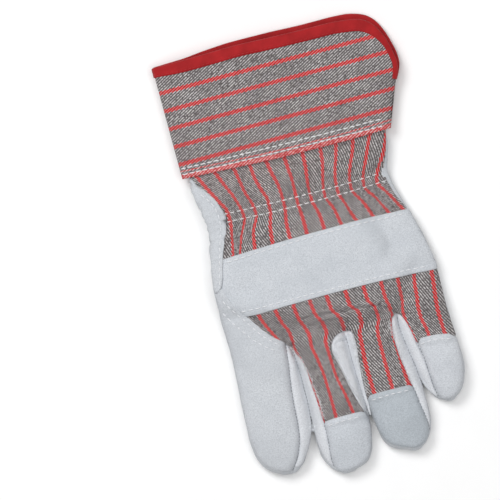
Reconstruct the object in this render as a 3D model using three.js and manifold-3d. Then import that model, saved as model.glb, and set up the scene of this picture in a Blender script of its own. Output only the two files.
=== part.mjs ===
// Leather palm work glove for the left hand, lying palm down with the thumb folded under it.
// Sizes are millimetres. The fingers point to -Y, the thumb side is -X and the back is +Z.
import * as THREE from 'three';
import { mergeVertices } from 'three/addons/utils/BufferGeometryUtils.js';
import Module from 'manifold-3d';

const wasm = await Module();
wasm.setup();

// Driving sizes
const WALL = 1.6;
const GAP = 0.3;
const STRAP_THICKNESS = 1.5;
const TAPE_THICKNESS = 0.7;
const TAPE_WIDTH = 5.6;
const PATCH_THICKNESS = 1.3;
const THUMB_HEIGHT = 7.8;
const THUMB_WALL = 1.3;
const THUMB_CLEARANCE = 0.6;
const THUMB_SIDES = 14;
const THUMB_ROUND = 0.6;
const THUMB_HOLE_RADIUS = 12;
const THUMB_HOLE_SIDES = 20;
const FAR = 200;

// Heights at which the upper pieces are sewn to the lower ones
const BACK_SEAM = 10.3;
const CAP_SEAM = 6.4;
const GUSSET_SEAM = 4.8;
const CUFF_SEAM = 10;
const FRONT_SEAM = BACK_SEAM + 3;

// Shape of a flattened tube: where its side seam lies, and how square its two halves are
const SEAM_SHARE = 0.45;
const TOP_POWER = 2.5;
const BOTTOM_POWER = 4;

// Elastic gathers across the wrist
const GATHER_Y = 25.8;
const GATHER_REACH = 24;
const GATHER_DEPTH = 0.8;
const GATHER_POINTS = 4;

const table = (names, rows) => rows.map(
  (row) => Object.fromEntries(names.map((name, column) => [name, row[column]])),
);

const HAND_SIDES = { top: 28, bottom: 10 };
const FINGER_SIDES = { top: 9, bottom: 5 };
const CUFF_SIDES = { top: 18, bottom: 10 };

// Palm and back, from the part that sits inside the cuff to the finger roots
const TUBE_COLUMNS = ['y', 'left', 'right', 'base', 'height'];
const HAND = table(TUBE_COLUMNS, [
  [63, -53.8, 66.6, 4.8, 10.8],
  [54, -54.2, 67, 4.8, 11],
  [46, -54.4, 67.1, 1.6, 15.8],
  [38, -52.3, 64.6, 0, 17.2],
  [30, -51, 62.5, 0, 16.5],
  [22, -51, 63.6, 0, 16.5],
  [13, -52.2, 66.6, 0, 17.3],
  [2, -54.8, 69.6, 0, 17.6],
  [-9, -57, 72.2, 0, 17.6],
  [-21, -57.6, 74.5, 0, 17.6],
  [-34, -57.9, 76.1, 0, 17.6],
  [-46, -57.5, 75.8, 0, 17.5],
  [-57.3, -57, 75.2, 0, 17],
]);

const INDEX = table(TUBE_COLUMNS, [
  [-46, -57.4, -23.2, 0, 17],
  [-64, -57.5, -20.7, 0, 17.2],
  [-84, -59, -20.4, 0, 17.1],
  [-104, -59.7, -21.3, 0, 16.5],
  [-115, -58.7, -24.2, 0, 15.4],
  [-122, -56, -28.4, 0.4, 13.6],
  [-127, -51.4, -31.8, 1.4, 11],
  [-130, -46.5, -35.6, 2.8, 7.4],
]);
const MIDDLE = table(TUBE_COLUMNS, [
  [-46, -19.1, 12, 0, 17],
  [-64, -19.6, 12.1, 0, 17.4],
  [-84, -19.7, 12.3, 0, 17.3],
  [-106, -20.8, 13.2, 0, 16.9],
  [-118, -21.8, 12.9, 0, 16.1],
  [-126, -21.1, 10.8, 0, 14.8],
  [-132, -18.5, 8.2, 0.6, 12.8],
  [-136, -15.2, 4.6, 1.6, 10.4],
  [-138.8, -11.6, -2, 2.8, 7.4],
]);
const RING = table(TUBE_COLUMNS, [
  [-46, 13.5, 44.2, 0, 17],
  [-64, 13.1, 44.8, 0, 17.4],
  [-84, 13.4, 46.3, 0, 17.3],
  [-105, 14.7, 48.8, 0, 16.8],
  [-116, 15.8, 49.3, 0, 16.2],
  [-124, 17.2, 48.2, 0, 14.8],
  [-129.6, 20.4, 45.8, 0.4, 13],
  [-133.4, 26, 42.6, 1.4, 10.6],
  [-136, 31.8, 39.6, 2.8, 7.4],
]);
const LITTLE = table(TUBE_COLUMNS, [
  [-42, 45.7, 75.6, 0, 16.8],
  [-58, 46.6, 75.1, 0, 16.8],
  [-74, 47.7, 75.8, 0, 16.5],
  [-90, 49.3, 76.5, 0, 16],
  [-101, 50.8, 75.1, 0, 14.8],
  [-107.4, 53.4, 72.4, 0.6, 12.6],
  [-111, 56.6, 69.4, 1.6, 10.2],
  [-113.2, 60.4, 66.6, 2.8, 7.2],
]);
const FINGERS = [INDEX, MIDDLE, RING, LITTLE];

// The cuff flares towards its mouth
const CUFF = table(TUBE_COLUMNS, [
  [53.4, -58.1, 70.9, 2, 17.4],
  [70, -57.9, 76.2, 2, 17],
  [88, -57.9, 85, 2, 16.2],
  [131, -58.2, 93, 2, 15.2],
]);

// Folded thumb: a pocket that runs from the index side across the palm.
// Each row gives the distance along its axis and its two edges on either side of the axis.
const THUMB_ROOT = { x: -52, y: 22 };
const THUMB_HEADING = THREE.MathUtils.degToRad(-30.4);
const THUMB = table(['along', 'low', 'high'], [
  [3, -4, 12],
  [8, -16, 19],
  [16, -31, 25],
  [26, -31.5, 29],
  [58, -24.3, 28.2],
  [84, -21.2, 21.4],
  [96, -19, 15.6],
  [103, -15.5, 10.4],
  [107.4, -8.4, 4],
]);
const THUMB_HOLE_ALONG = 32;
const LIFT_PLATEAU = 6;
const LIFT_FALL = 14;
const LIFT_TOP_SHARE = 0.5;
const LIFT_HEIGHT = 17.6;

// Plan outlines of the pieces, from the photographed edges and seams
const plan = (...pairs) => pairs.map(([x, y]) => new THREE.Vector2(x, y));

const BACK_OUTLINE = plan(
  [-52, 64], [-50.7, 54.5], [-40.9, 38], [-39.8, 28], [-41.2, 18.5], [-45.7, 4.7],
  [-48.5, -8], [-47.5, -22], [-41.9, -33.6], [-34.2, -44.9], [-29.8, -49.7], [-24.6, -53.8],
  [-22, -57], [-19, -110], [82, -110], [82, -34], [70.5, -10], [66.6, 4], [61.6, 17],
  [59.4, 28], [61.8, 36], [66, 45], [69, 54], [69, 64],
);
const INDEX_OUTLINE = plan(
  [-66, -14], [-53.5, -14], [-50.4, -21], [-45.5, -29], [-41.9, -33.6], [-34.2, -44.9],
  [-29.8, -49.7], [-24.6, -53.8], [-18, -58], [-22, -140], [-66, -140],
);
const INDEX_GUSSET_OUTLINE = plan(
  [-25, -54.6], [-24.9, -64.6], [-27, -76], [-28.4, -90], [-29.3, -106], [-30.6, -115],
  [-34.4, -123.4], [-40, -130], [-40, -146], [-14.4, -146], [-14.4, -136], [-15.2, -128.9],
  [-14.1, -116.9], [-13.8, -106], [-14.2, -92], [-15.4, -76], [-16.6, -69], [-20, -60.4],
  [-22.6, -55.6],
);
const RING_GUSSET_OUTLINE = plan(
  [1.7, -67.5], [2.1, -63.2], [4, -59.4], [8.1, -56.9], [12.5, -56], [15.9, -56.9],
  [17.3, -60], [17.3, -67.6], [16.2, -77], [15.4, -92], [15.8, -98], [17, -112],
  [19.4, -124], [15, -146], [13, -146], [11.8, -118], [11, -106], [8.1, -99], [6.4, -90],
  [4.6, -79],
);
const LITTLE_GUSSET_OUTLINE = plan(
  [41.7, -55], [43.4, -53.6], [46, -53.8], [48.4, -56], [50, -62], [52.3, -73],
  [54.3, -83], [54.8, -96], [56.4, -111], [56.4, -126], [47.6, -126], [46.4, -120],
  [44.8, -112], [43.6, -103], [42.4, -96], [40.8, -86], [39.6, -77], [39.8, -65.4],
);
const CAP_OUTLINES = {
  middle_tip: plan([-18, -106], [14.6, -105.6], [14.6, -146], [-18, -146]),
  ring_tip: plan([13.5, -97.8], [46, -98.1], [50, -146], [14.5, -146]),
  little_tip: plan([50, -73], [62.6, -72.7], [80, -75.6], [80, -120], [52, -120]),
};
const FRONT_OUTLINE = plan([-20.5, -58.4], [47, -58.4], [49.8, -104], [50.5, -146], [-22, -146]);
const FRONT_ROOT_OUTLINE = plan(
  [-20.5, -58.5], [-18.2, -49.6], [-12.4, -46.1], [36, -47], [43, -52], [47, -58.5],
);
const STRAP_OUTLINE = plan(
  [-45.4, 4], [66.4, 4], [80, -34], [-41.9, -33.6], [-45.5, -29], [-50.5, -14], [-47.6, -5],
);
const PATCH_OUTLINE = plan(
  [-11.4, 50], [-13, 62], [-17, 73], [-17.4, 81], [-15.5, 87], [-11, 91.4], [-3, 94.4],
  [14, 95.2], [31, 94.4], [39, 91.4], [43.5, 87], [45.4, 81], [45, 73], [41, 62], [39.4, 50],
);

// Rim of the cuff, from the thumb side round the corner to the slit. The palm layer stands out
// beyond the back layer by the last two columns.
const SLIT_Y = 81.2;
const RIM = table(['x', 'y', 'outX', 'outY'], [
  [-80, 123.6, 0, 0.4],
  [-40, 124, 0, 1],
  [-10, 124.5, 0, 2.1],
  [38, 123.7, 0, 2.9],
  [60, 122, 0, 3.6],
  [68, 120.5, 0.8, 3.2],
  [73, 117.9, 1.2, 3],
  [77, 113, 1.4, 2.6],
  [80.2, 106, 1.6, 1.6],
  [82.4, 98.6, 1.7, 0.4],
  [83.2, 92.6, 1.4, 0],
  [82.8, 86.8, 1, 0],
  [81, SLIT_Y, 0, 0],
]);
const CUFF_REACH = { left: -80, right: 110, bottom: 46 };
const cuffOutline = (share) => plan(
  [CUFF_REACH.left, CUFF_REACH.bottom],
  ...RIM.map(({ x, y, outX, outY }) => [x + outX * share, y + outY * share]),
  [CUFF_REACH.right, SLIT_Y], [CUFF_REACH.right, CUFF_REACH.bottom],
);
const CUFF_LAYERS = [
  { outline: cuffOutline(0), from: CUFF_SEAM, to: FAR },
  { outline: cuffOutline(1), from: -FAR, to: CUFF_SEAM },
];

const smooth = (share) => THREE.MathUtils.smoothstep(share, 0, 1);

function thumbPlace(x, y) {
  const dx = x - THUMB_ROOT.x;
  const dy = y - THUMB_ROOT.y;
  const cos = Math.cos(THUMB_HEADING);
  const sin = Math.sin(THUMB_HEADING);
  return { along: dx * cos + dy * sin, across: dy * cos - dx * sin };
}

function thumbEdges(along) {
  const last = THUMB.length - 1;
  const place = THREE.MathUtils.clamp(along, THUMB[0].along, THUMB[last].along);
  const after = Math.max(1, THUMB.findIndex((row) => row.along >= place));
  const share = (place - THUMB[after - 1].along) / (THUMB[after].along - THUMB[after - 1].along);
  return {
    low: THREE.MathUtils.lerp(THUMB[after - 1].low, THUMB[after].low, share),
    high: THREE.MathUtils.lerp(THUMB[after - 1].high, THUMB[after].high, share),
  };
}

// How far the palm is held off the ground by the thumb pocket under it
function thumbLift(x, y) {
  const place = thumbPlace(x, y);
  const edges = thumbEdges(place.along);
  const end = THUMB[THUMB.length - 1].along;
  const outside = Math.max(edges.low - place.across, place.across - edges.high, place.along - end);
  return (THUMB_HEIGHT + THUMB_CLEARANCE) * (1 - smooth((outside - LIFT_PLATEAU) / LIFT_FALL));
}

function lifted(x, y, z) {
  const share = THREE.MathUtils.clamp(z / LIFT_HEIGHT, 0, 1);
  return new THREE.Vector3(x, y, z + thumbLift(x, y) * (1 - LIFT_TOP_SHARE * share));
}

const bulge = (side, power) => (1 - Math.abs(side) ** power) ** (1 / power);

// Places across a section from -1 to 1, closer together near its two edges
const spread = (share) => (2 * share - 1 - Math.cos(Math.PI * share)) / 2;

function gather(y, step) {
  const reach = THREE.MathUtils.clamp(1 - Math.abs(y - GATHER_Y) / GATHER_REACH, 0, 1);
  return GATHER_DEPTH * smooth(reach) * Math.sin((step * 2 * Math.PI) / GATHER_POINTS);
}

function flatRing(row, grow, sides, place) {
  const left = row.left - grow;
  const right = row.right + grow;
  const base = row.base - grow;
  const top = row.base + row.height + grow;
  const seam = base + SEAM_SHARE * (top - base);
  const middle = (left + right) / 2;
  const half = (right - left) / 2;
  const ring = [];
  for (let step = 0; step < sides.top; step += 1) {
    const side = spread(step / sides.top);
    const crown = bulge(side, TOP_POWER);
    const fold = sides === HAND_SIDES ? crown * gather(row.y, step) : 0;
    ring.push(place(middle + half * side, row.y, seam + (top - seam) * crown + fold));
  }
  for (let step = 0; step < sides.bottom; step += 1) {
    const side = -spread(step / sides.bottom);
    ring.push(place(middle + half * side, row.y, seam - (seam - base) * bulge(side, BOTTOM_POWER)));
  }
  return ring;
}

// A closed body through rings of equal count, with a flat fan at each end
function loft(rings) {
  const count = rings[0].length;
  const points = rings.flat();
  const faces = [];
  for (let ring = 0; ring + 1 < rings.length; ring += 1) {
    for (let step = 0; step < count; step += 1) {
      const a = ring * count + step;
      const b = ring * count + ((step + 1) % count);
      faces.push(a, b, a + count, b, b + count, a + count);
    }
  }
  for (const [first, turned] of [[0, true], [(rings.length - 1) * count, false]]) {
    const centre = points.length;
    const sum = new THREE.Vector3();
    for (let step = 0; step < count; step += 1) {
      sum.add(points[first + step]);
    }
    points.push(sum.divideScalar(count));
    for (let step = 0; step < count; step += 1) {
      const a = first + step;
      const b = first + ((step + 1) % count);
      faces.push(...(turned ? [b, a, centre] : [a, b, centre]));
    }
  }
  const geometry = new THREE.BufferGeometry().setFromPoints(points);
  geometry.setIndex(faces);
  return solid(geometry);
}

const SAME_PLACE = 1e-4;
function solid(geometry) {
  geometry.deleteAttribute('normal');
  geometry.deleteAttribute('uv');
  const merged = mergeVertices(geometry, SAME_PLACE);
  const vertProperties = new Float32Array(merged.attributes.position.array);
  const triVerts = new Uint32Array(merged.index.array);
  const body = new wasm.Manifold(new wasm.Mesh({ numProp: 3, vertProperties, triVerts }));
  if (body.volume() > 0) {
    return body;
  }
  const flipped = triVerts.map((_, i) => triVerts[i % 3 === 0 ? i : i + (i % 3 === 1 ? 1 : -1)]);
  return new wasm.Manifold(new wasm.Mesh({ numProp: 3, vertProperties, triVerts: flipped }));
}

function prism(outline, from, to) {
  const options = { depth: to - from, bevelEnabled: false };
  return solid(new THREE.ExtrudeGeometry(new THREE.Shape(outline), options).translate(0, 0, from));
}

// The outline moved outwards by a distance, corner by corner
const SHARPEST_MITRE = 0.5;
function grown(outline, distance) {
  const turn = THREE.ShapeUtils.area(outline) > 0 ? 1 : -1;
  return outline.map((corner, i) => {
    const before = outline[(i + outline.length - 1) % outline.length];
    const after = outline[(i + 1) % outline.length];
    const first = corner.clone().sub(before).normalize();
    const second = after.clone().sub(corner).normalize();
    const normal = new THREE.Vector2(first.y + second.y, -first.x - second.x).normalize();
    const mitre = normal.x * first.y - normal.y * first.x;
    return corner.clone().addScaledVector(normal, (turn * distance) / Math.max(mitre, SHARPEST_MITRE));
  });
}

const joined = (bodies) => bodies.reduce((all, body) => all.add(body));
const upright = (x, y, z) => new THREE.Vector3(x, y, z);

function tube(rows, grow, sides, place) {
  const first = rows[0].y;
  const last = rows[rows.length - 1].y;
  const fitted = (row) => ({ ...row, y: row.y - grow * ((row.y - first) / (last - first)) });
  return loft(rows.map((row) => flatRing(fitted(row), grow, sides, place)));
}

// The wrist end keeps its place, so that the hollow runs out through it
const MOUTH = 1;
function hand(grow) {
  const rows = grow < 0 ? [{ ...HAND[0], y: HAND[0].y + MOUTH }, ...HAND] : HAND;
  return tube(rows, grow, HAND_SIDES, lifted);
}

function handAndFingers(grow) {
  return joined([hand(grow), ...FINGERS.map((rows) => tube(rows, grow, FINGER_SIDES, lifted))]);
}

function cuffBody(grow) {
  return loft(CUFF.map((row) => flatRing(row, grow, CUFF_SIDES, upright)));
}

function thumbRing(row, grow) {
  const middle = (row.low + row.high) / 2;
  const half = (row.high - row.low) / 2 + grow;
  const cos = Math.cos(THUMB_HEADING);
  const sin = Math.sin(THUMB_HEADING);
  const ring = [];
  for (let step = 0; step < THUMB_SIDES; step += 1) {
    const angle = (2 * Math.PI * step) / THUMB_SIDES;
    const across = middle + half * Math.cos(angle);
    const swell = Math.sign(Math.sin(angle)) * Math.abs(Math.sin(angle)) ** THUMB_ROUND;
    const x = THUMB_ROOT.x + row.along * cos - across * sin;
    const y = THUMB_ROOT.y + row.along * sin + across * cos;
    ring.push(upright(x, y, THUMB_HEIGHT / 2 + (THUMB_HEIGHT / 2 + grow) * swell));
  }
  return ring;
}

function thumbBody(grow) {
  const end = THUMB[THUMB.length - 1].along;
  const fitted = (row) => ({ ...row, along: row.along + grow * ((2 * row.along) / end - 1) });
  return loft(THUMB.map((row) => thumbRing(fitted(row), grow)));
}

function thumbHole(from, to) {
  const place = thumbRing({ along: THUMB_HOLE_ALONG, low: 0, high: 0 }, 0)[0];
  const radius = THUMB_HOLE_RADIUS;
  const cylinder = new THREE.CylinderGeometry(radius, radius, to - from, THUMB_HOLE_SIDES);
  return solid(cylinder.rotateX(Math.PI / 2).translate(place.x, place.y, (from + to) / 2));
}

// Colour and finish of each material
const finish = (color, roughness) => new THREE.MeshStandardMaterial({
  color, roughness, metalness: 0, side: THREE.DoubleSide,
});
const SUEDE = finish(0xc6ccd0, 0.95);
const CANVAS = finish(0x8b8583, 0.9);
const TAPE = finish(0xb01c22, 0.7);

const glove = new THREE.Group();

function addPiece(name, body, material) {
  const largest = body.decompose().sort((a, b) => b.volume() - a.volume())[0];
  const made = largest.getMesh();
  const geometry = new THREE.BufferGeometry();
  geometry.setAttribute('position', new THREE.BufferAttribute(made.vertProperties, 3));
  geometry.setIndex(new THREE.BufferAttribute(made.triVerts, 1));
  const mesh = new THREE.Mesh(geometry, material);
  mesh.name = name;
  glove.add(mesh);
}

// Sewn pieces of the hand, cut from one hollow shell in the order in which they lie on each other
function addHandPieces() {
  const shell = handAndFingers(0).subtract(handAndFingers(-WALL));
  const upper = [
    { name: 'index_gusset', outline: INDEX_GUSSET_OUTLINE, from: GUSSET_SEAM, material: SUEDE },
    { name: 'ring_gusset', outline: RING_GUSSET_OUTLINE, from: GUSSET_SEAM, material: SUEDE },
    { name: 'little_gusset', outline: LITTLE_GUSSET_OUTLINE, from: GUSSET_SEAM, material: SUEDE },
    { name: 'index_back', outline: INDEX_OUTLINE, from: BACK_SEAM, material: SUEDE },
    ...Object.entries(CAP_OUTLINES).map(
      ([name, outline]) => ({ name, outline, from: CAP_SEAM, material: SUEDE }),
    ),
    { name: 'back_panel', outline: BACK_OUTLINE, from: BACK_SEAM, material: CANVAS },
  ];
  let rest = shell;
  for (const { name, outline, from, material } of upper) {
    addPiece(name, rest.intersect(prism(outline, from, FAR)), material);
    rest = rest.subtract(prism(grown(outline, GAP), from - GAP, FAR));
  }
  const front = (grow) => joined([
    prism(grown(FRONT_OUTLINE, grow), -FAR, FAR),
    prism(grown(FRONT_ROOT_OUTLINE, grow), -FAR, FRONT_SEAM + grow),
  ]);
  addPiece('finger_front', rest.intersect(front(0)), SUEDE);
  addPiece('palm', rest.subtract(front(GAP)).subtract(thumbHole(0, FRONT_SEAM)), SUEDE);
}

function addThumb() {
  const hollow = thumbBody(0).subtract(thumbBody(-THUMB_WALL));
  addPiece('thumb', hollow.subtract(thumbHole(THUMB_HEIGHT / 2, FAR)), SUEDE);
}

function addStrap() {
  const sheet = hand(GAP + STRAP_THICKNESS).subtract(hand(GAP));
  addPiece('knuckle_strap', sheet.intersect(prism(STRAP_OUTLINE, BACK_SEAM, FAR)), SUEDE);
}

// One layer set of the cuff between two offsets, inside an outline that is moved out by a distance
function cuffWall(outer, inner, edge) {
  const wall = cuffBody(outer).subtract(cuffBody(inner).add(mouthPlug(inner)));
  const layers = CUFF_LAYERS.map(({ outline, from, to }) => prism(grown(outline, edge), from, to));
  return wall.intersect(joined(layers));
}

// Carries the hollow of the cuff out through both of its ends
function mouthPlug(grow) {
  const first = CUFF[0];
  const last = CUFF[CUFF.length - 1];
  const rows = [{ ...first, y: first.y - MOUTH }, ...CUFF, { ...last, y: last.y + MOUTH }];
  return loft(rows.map((row) => flatRing(row, grow, CUFF_SIDES, upright)));
}

function addCuff() {
  addPiece('cuff', cuffWall(0, -WALL, 0), CANVAS);
  const tape = cuffWall(GAP + TAPE_THICKNESS, -WALL - GAP - TAPE_THICKNESS, GAP + TAPE_THICKNESS);
  const core = cuffWall(GAP, -WALL - GAP, GAP);
  const inside = CUFF_LAYERS.map(
    ({ outline, from, to }) => prism(grown(outline, -TAPE_WIDTH), from, to),
  );
  const below = new THREE.BoxGeometry(2 * FAR, 2 * FAR, 2 * FAR).translate(0, SLIT_Y + GAP - FAR, 0);
  addPiece('binding', tape.subtract(core).subtract(joined(inside)).subtract(solid(below)), TAPE);
}

function addPatch() {
  const sheet = cuffBody(GAP + PATCH_THICKNESS).subtract(cuffBody(GAP));
  addPiece('pulse_patch', sheet.intersect(prism(PATCH_OUTLINE, -FAR, CUFF_SEAM / 2)), SUEDE);
}

addHandPieces();
addThumb();
addStrap();
addCuff();
addPatch();

// The origin is the middle of the underside
glove.updateMatrixWorld(true);
const box = new THREE.Box3().setFromObject(glove, true);
const centre = box.getCenter(new THREE.Vector3());
glove.position.set(-centre.x, -centre.y, -box.min.z);

export default glove;
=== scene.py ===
import math

import bmesh
import bpy
import numpy as np
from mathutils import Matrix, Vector, noise
from mathutils.bvhtree import BVHTree
from mathutils.geometry import delaunay_2d_cdt


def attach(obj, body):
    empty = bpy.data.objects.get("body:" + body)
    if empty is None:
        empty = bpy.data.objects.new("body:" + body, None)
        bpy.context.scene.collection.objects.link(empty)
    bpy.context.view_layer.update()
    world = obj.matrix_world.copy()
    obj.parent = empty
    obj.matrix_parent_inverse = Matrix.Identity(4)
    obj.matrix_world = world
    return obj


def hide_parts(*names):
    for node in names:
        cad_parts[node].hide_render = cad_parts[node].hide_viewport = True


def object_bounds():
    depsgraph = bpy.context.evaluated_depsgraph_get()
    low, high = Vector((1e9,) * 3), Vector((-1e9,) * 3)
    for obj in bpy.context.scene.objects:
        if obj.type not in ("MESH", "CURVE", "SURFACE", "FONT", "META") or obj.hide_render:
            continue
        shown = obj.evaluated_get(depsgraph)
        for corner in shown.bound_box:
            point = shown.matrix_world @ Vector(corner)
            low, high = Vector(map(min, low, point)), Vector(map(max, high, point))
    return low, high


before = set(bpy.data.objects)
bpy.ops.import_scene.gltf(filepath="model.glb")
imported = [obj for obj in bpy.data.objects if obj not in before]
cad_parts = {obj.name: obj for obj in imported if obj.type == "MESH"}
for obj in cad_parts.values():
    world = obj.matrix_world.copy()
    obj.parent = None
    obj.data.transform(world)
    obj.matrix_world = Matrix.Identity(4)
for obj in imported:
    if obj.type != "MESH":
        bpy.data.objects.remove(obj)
cad_low, cad_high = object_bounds()

# Leather skin: the palm, the sides and all four fingers.
# Split cowhide about 1.6 mm thick, cut flat, sewn inside out and turned, so it is one hollow
# skin that is open at the wrist. The palm is held up by the thumb folded beneath it.
MM = 0.001
GLOVE_LEFT = -59.7
GLOVE_END = -138.8
SHIFT = np.array([cad_low.x / MM - GLOVE_LEFT, cad_low.y / MM - GLOVE_END, 0.0])
SKIN_THICKNESS = 1.6
SKIN_VOXEL = 1.06
WRIST_END = 61.5
SEAM_SHARE = 0.45
TOP_POWER = 2.4
BOTTOM_POWER = 3.6
TOP_POINTS = 56
BOTTOM_POINTS = 36
RING_STEP = 2.0
NOSE = 1.6
NOSE_TURNS = (30, 55, 75)

# Each row: y, left edge, right edge, base and height, in millimetres
HAND = [
    (64, -54.2, 67.0, 4.6, 11.2),
    (54, -54.2, 67.2, 4.2, 11.8),
    (46, -54.4, 67.1, 1.6, 15.2),
    (38, -52.3, 64.6, 0.0, 16.6),
    (30, -51.0, 62.5, 0.0, 16.0),
    (22, -51.0, 63.6, 0.0, 16.0),
    (13, -52.2, 66.4, 0.0, 16.9),
    (2, -54.8, 69.3, 0.0, 17.3),
    (-9, -57.0, 72.0, 0.0, 17.4),
    (-21, -57.6, 74.3, 0.0, 17.4),
    (-34, -57.9, 75.7, 0.0, 17.3),
    (-46, -57.5, 75.4, 0.0, 16.6),
    (-54, -57.2, 75.0, 0.0, 14.0),
]
INDEX = [
    (-34, -57.3, -26.0, 0.4, 15.4),
    (-50, -57.0, -22.4, 0.0, 16.6),
    (-64, -57.5, -20.3, 0.0, 17.0),
    (-84, -59.0, -20.0, 0.0, 16.8),
    (-104, -59.7, -21.4, 0.0, 16.0),
    (-115, -58.7, -24.2, 0.0, 14.8),
    (-122, -56.0, -28.0, 0.4, 13.0),
    (-127, -51.4, -31.4, 1.4, 10.6),
    (-129.4, -46.5, -35.4, 2.8, 7.0),
]
MIDDLE = [
    (-40, -17.5, 10.6, 0.4, 15.0),
    (-56, -19.2, 11.8, 0.0, 16.4),
    (-70, -19.5, 12.2, 0.0, 17.0),
    (-88, -19.6, 12.5, 0.0, 16.8),
    (-107, -20.3, 13.3, 0.0, 16.2),
    (-118, -21.4, 12.8, 0.0, 15.4),
    (-126, -21.0, 10.9, 0.0, 14.0),
    (-132, -18.5, 8.4, 0.6, 12.2),
    (-136, -15.2, 4.6, 1.6, 10.0),
    (-138.2, -11.6, -2.0, 2.8, 7.0),
]
RING = [
    (-40, 15.0, 43.0, 0.4, 15.0),
    (-56, 13.6, 44.4, 0.0, 16.4),
    (-70, 13.0, 45.2, 0.0, 17.0),
    (-88, 13.4, 46.8, 0.0, 16.8),
    (-105, 14.6, 48.9, 0.0, 16.2),
    (-116, 15.8, 49.3, 0.0, 15.6),
    (-124, 17.2, 48.2, 0.0, 14.2),
    (-129.6, 20.4, 45.8, 0.4, 12.6),
    (-133.4, 26.0, 42.6, 1.4, 10.2),
    (-135.6, 31.8, 39.6, 2.8, 7.0),
]
LITTLE = [
    (-36, 44.0, 75.2, 0.4, 15.0),
    (-52, 44.0, 75.2, 0.0, 16.0),
    (-66, 44.6, 75.4, 0.0, 16.4),
    (-82, 45.8, 76.4, 0.0, 16.0),
    (-93, 47.8, 76.4, 0.0, 15.4),
    (-101, 50.9, 75.1, 0.0, 14.2),
    (-107.4, 53.4, 72.4, 0.6, 12.2),
    (-111, 56.6, 69.4, 1.6, 9.8),
    (-112.8, 60.4, 66.6, 2.8, 7.0),
]

# Folded thumb under the palm: distance along its axis and its edge on either side of the axis
THUMB_ROOT = (-52.0, 22.0)
THUMB_HEADING = math.radians(-30.4)
THUMB_HEIGHT = 7.8
THUMB = [
    (3, -4, 12),
    (8, -16, 19),
    (16, -31, 25),
    (26, -31.5, 29),
    (58, -24.3, 28.2),
    (84, -21.2, 21.4),
    (96, -19.0, 15.6),
    (103, -15.5, 10.4),
    (107.4, -8.4, 4.0),
]

# Lift that the thumb gives the skin: its height, how far beyond the thumb it holds and then fades,
# and the share of it that is lost at the height of the back
LIFT = 8.4
LIFT_PLATEAU = 5.0
LIFT_FALL = 14.0
LIFT_HEIGHT = 17.6
LIFT_LOSS = 0.5


def through(places, values, at):
    """Values of a smooth curve through the given rows, without overshoot."""
    order = np.argsort(places)
    xs = np.asarray(places, float)[order]
    ys = np.asarray(values, float)[order]
    slope = np.diff(ys) / np.diff(xs)
    lean = np.zeros(len(xs))
    lean[0] = slope[0]
    lean[-1] = slope[-1]
    for i in range(1, len(xs) - 1):
        if slope[i - 1] * slope[i] > 0:
            lean[i] = 2 * slope[i - 1] * slope[i] / (slope[i - 1] + slope[i])
    at = np.clip(at, xs[0], xs[-1])
    i = np.clip(np.searchsorted(xs, at) - 1, 0, len(xs) - 2)
    width = xs[i + 1] - xs[i]
    t = (at - xs[i]) / width
    rise = ys[i + 1] - ys[i]
    bend = (lean[i] + lean[i + 1]) * width - 2 * rise
    return ys[i] + t * (lean[i] * width + t * (3 * rise - (2 * lean[i] + lean[i + 1]) * width + t * bend))


def smooth(share):
    """An even share from 0 to 1 that starts and stops gently."""
    share = np.clip(share, 0, 1)
    return share * share * (3 - 2 * share)


def bulge(side, power):
    """Height of a flattened round across its width, 1 in the middle and 0 at either side."""
    return (1 - np.minimum(np.abs(side), 1) ** power) ** (1 / power)


def thumb_lift(x, y):
    """How far the folded thumb lifts the skin over plan points."""
    dx = x - THUMB_ROOT[0]
    dy = y - THUMB_ROOT[1]
    along = dx * math.cos(THUMB_HEADING) + dy * math.sin(THUMB_HEADING)
    across = dy * math.cos(THUMB_HEADING) - dx * math.sin(THUMB_HEADING)
    places = [row[0] for row in THUMB]
    low = np.interp(along, places, [row[1] for row in THUMB])
    high = np.interp(along, places, [row[2] for row in THUMB])
    outside = np.maximum(np.maximum(low - across, across - high), along - places[-1])
    return LIFT * (1 - smooth((outside - LIFT_PLATEAU) / LIFT_FALL))


def ring_sides(count):
    """Places across a ring from -1 towards 1, closer together near its sides."""
    even = np.linspace(0, 1, count, endpoint=False)
    return 0.5 * (2 * even - 1 - np.cos(np.pi * even))


def tube_rings(rows):
    """Flattened rings along Y through the rows of a tube table, with a rounded last end."""
    columns = list(zip(*rows))
    first_y = rows[0][0]
    last_y = rows[-1][0]
    ys = np.linspace(first_y, last_y, int(abs(first_y - last_y) / RING_STEP) + 2)
    left, right, base, height = (through(columns[0], c, ys) for c in columns[1:])
    above = ring_sides(TOP_POINTS)
    below = -ring_sides(BOTTOM_POINTS)
    rings = []
    for k, y in enumerate(ys):
        middle = (left[k] + right[k]) / 2
        half = (right[k] - left[k]) / 2
        seam = base[k] + SEAM_SHARE * height[k]
        x = middle + half * np.concatenate([above, below])
        z = np.concatenate([
            seam + (base[k] + height[k] - seam) * bulge(above, TOP_POWER),
            seam - (seam - base[k]) * bulge(below, BOTTOM_POWER),
        ])
        rings.append(np.stack([x, np.full_like(x, y), z], axis=1))
    heart = rings[-1].mean(axis=0)
    nose = np.sign(ys[-1] - ys[0]) * NOSE
    for turn in NOSE_TURNS:
        ring = heart + (rings[len(ys) - 1] - heart) * math.cos(math.radians(turn))
        ring[:, 1] = ys[-1] + nose * math.sin(math.radians(turn))
        rings.append(ring)
    return rings


def ring_faces(ring_total, count, first=0):
    """Quads between closed rings, and a face on each end ring."""
    faces = []
    for k in range(ring_total - 1):
        for i in range(count):
            a = first + k * count + i
            b = first + k * count + (i + 1) % count
            faces.append((a, b, b + count, a + count))
    faces.append(tuple(first + i for i in reversed(range(count))))
    faces.append(tuple(first + (ring_total - 1) * count + i for i in range(count)))
    return faces


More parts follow.
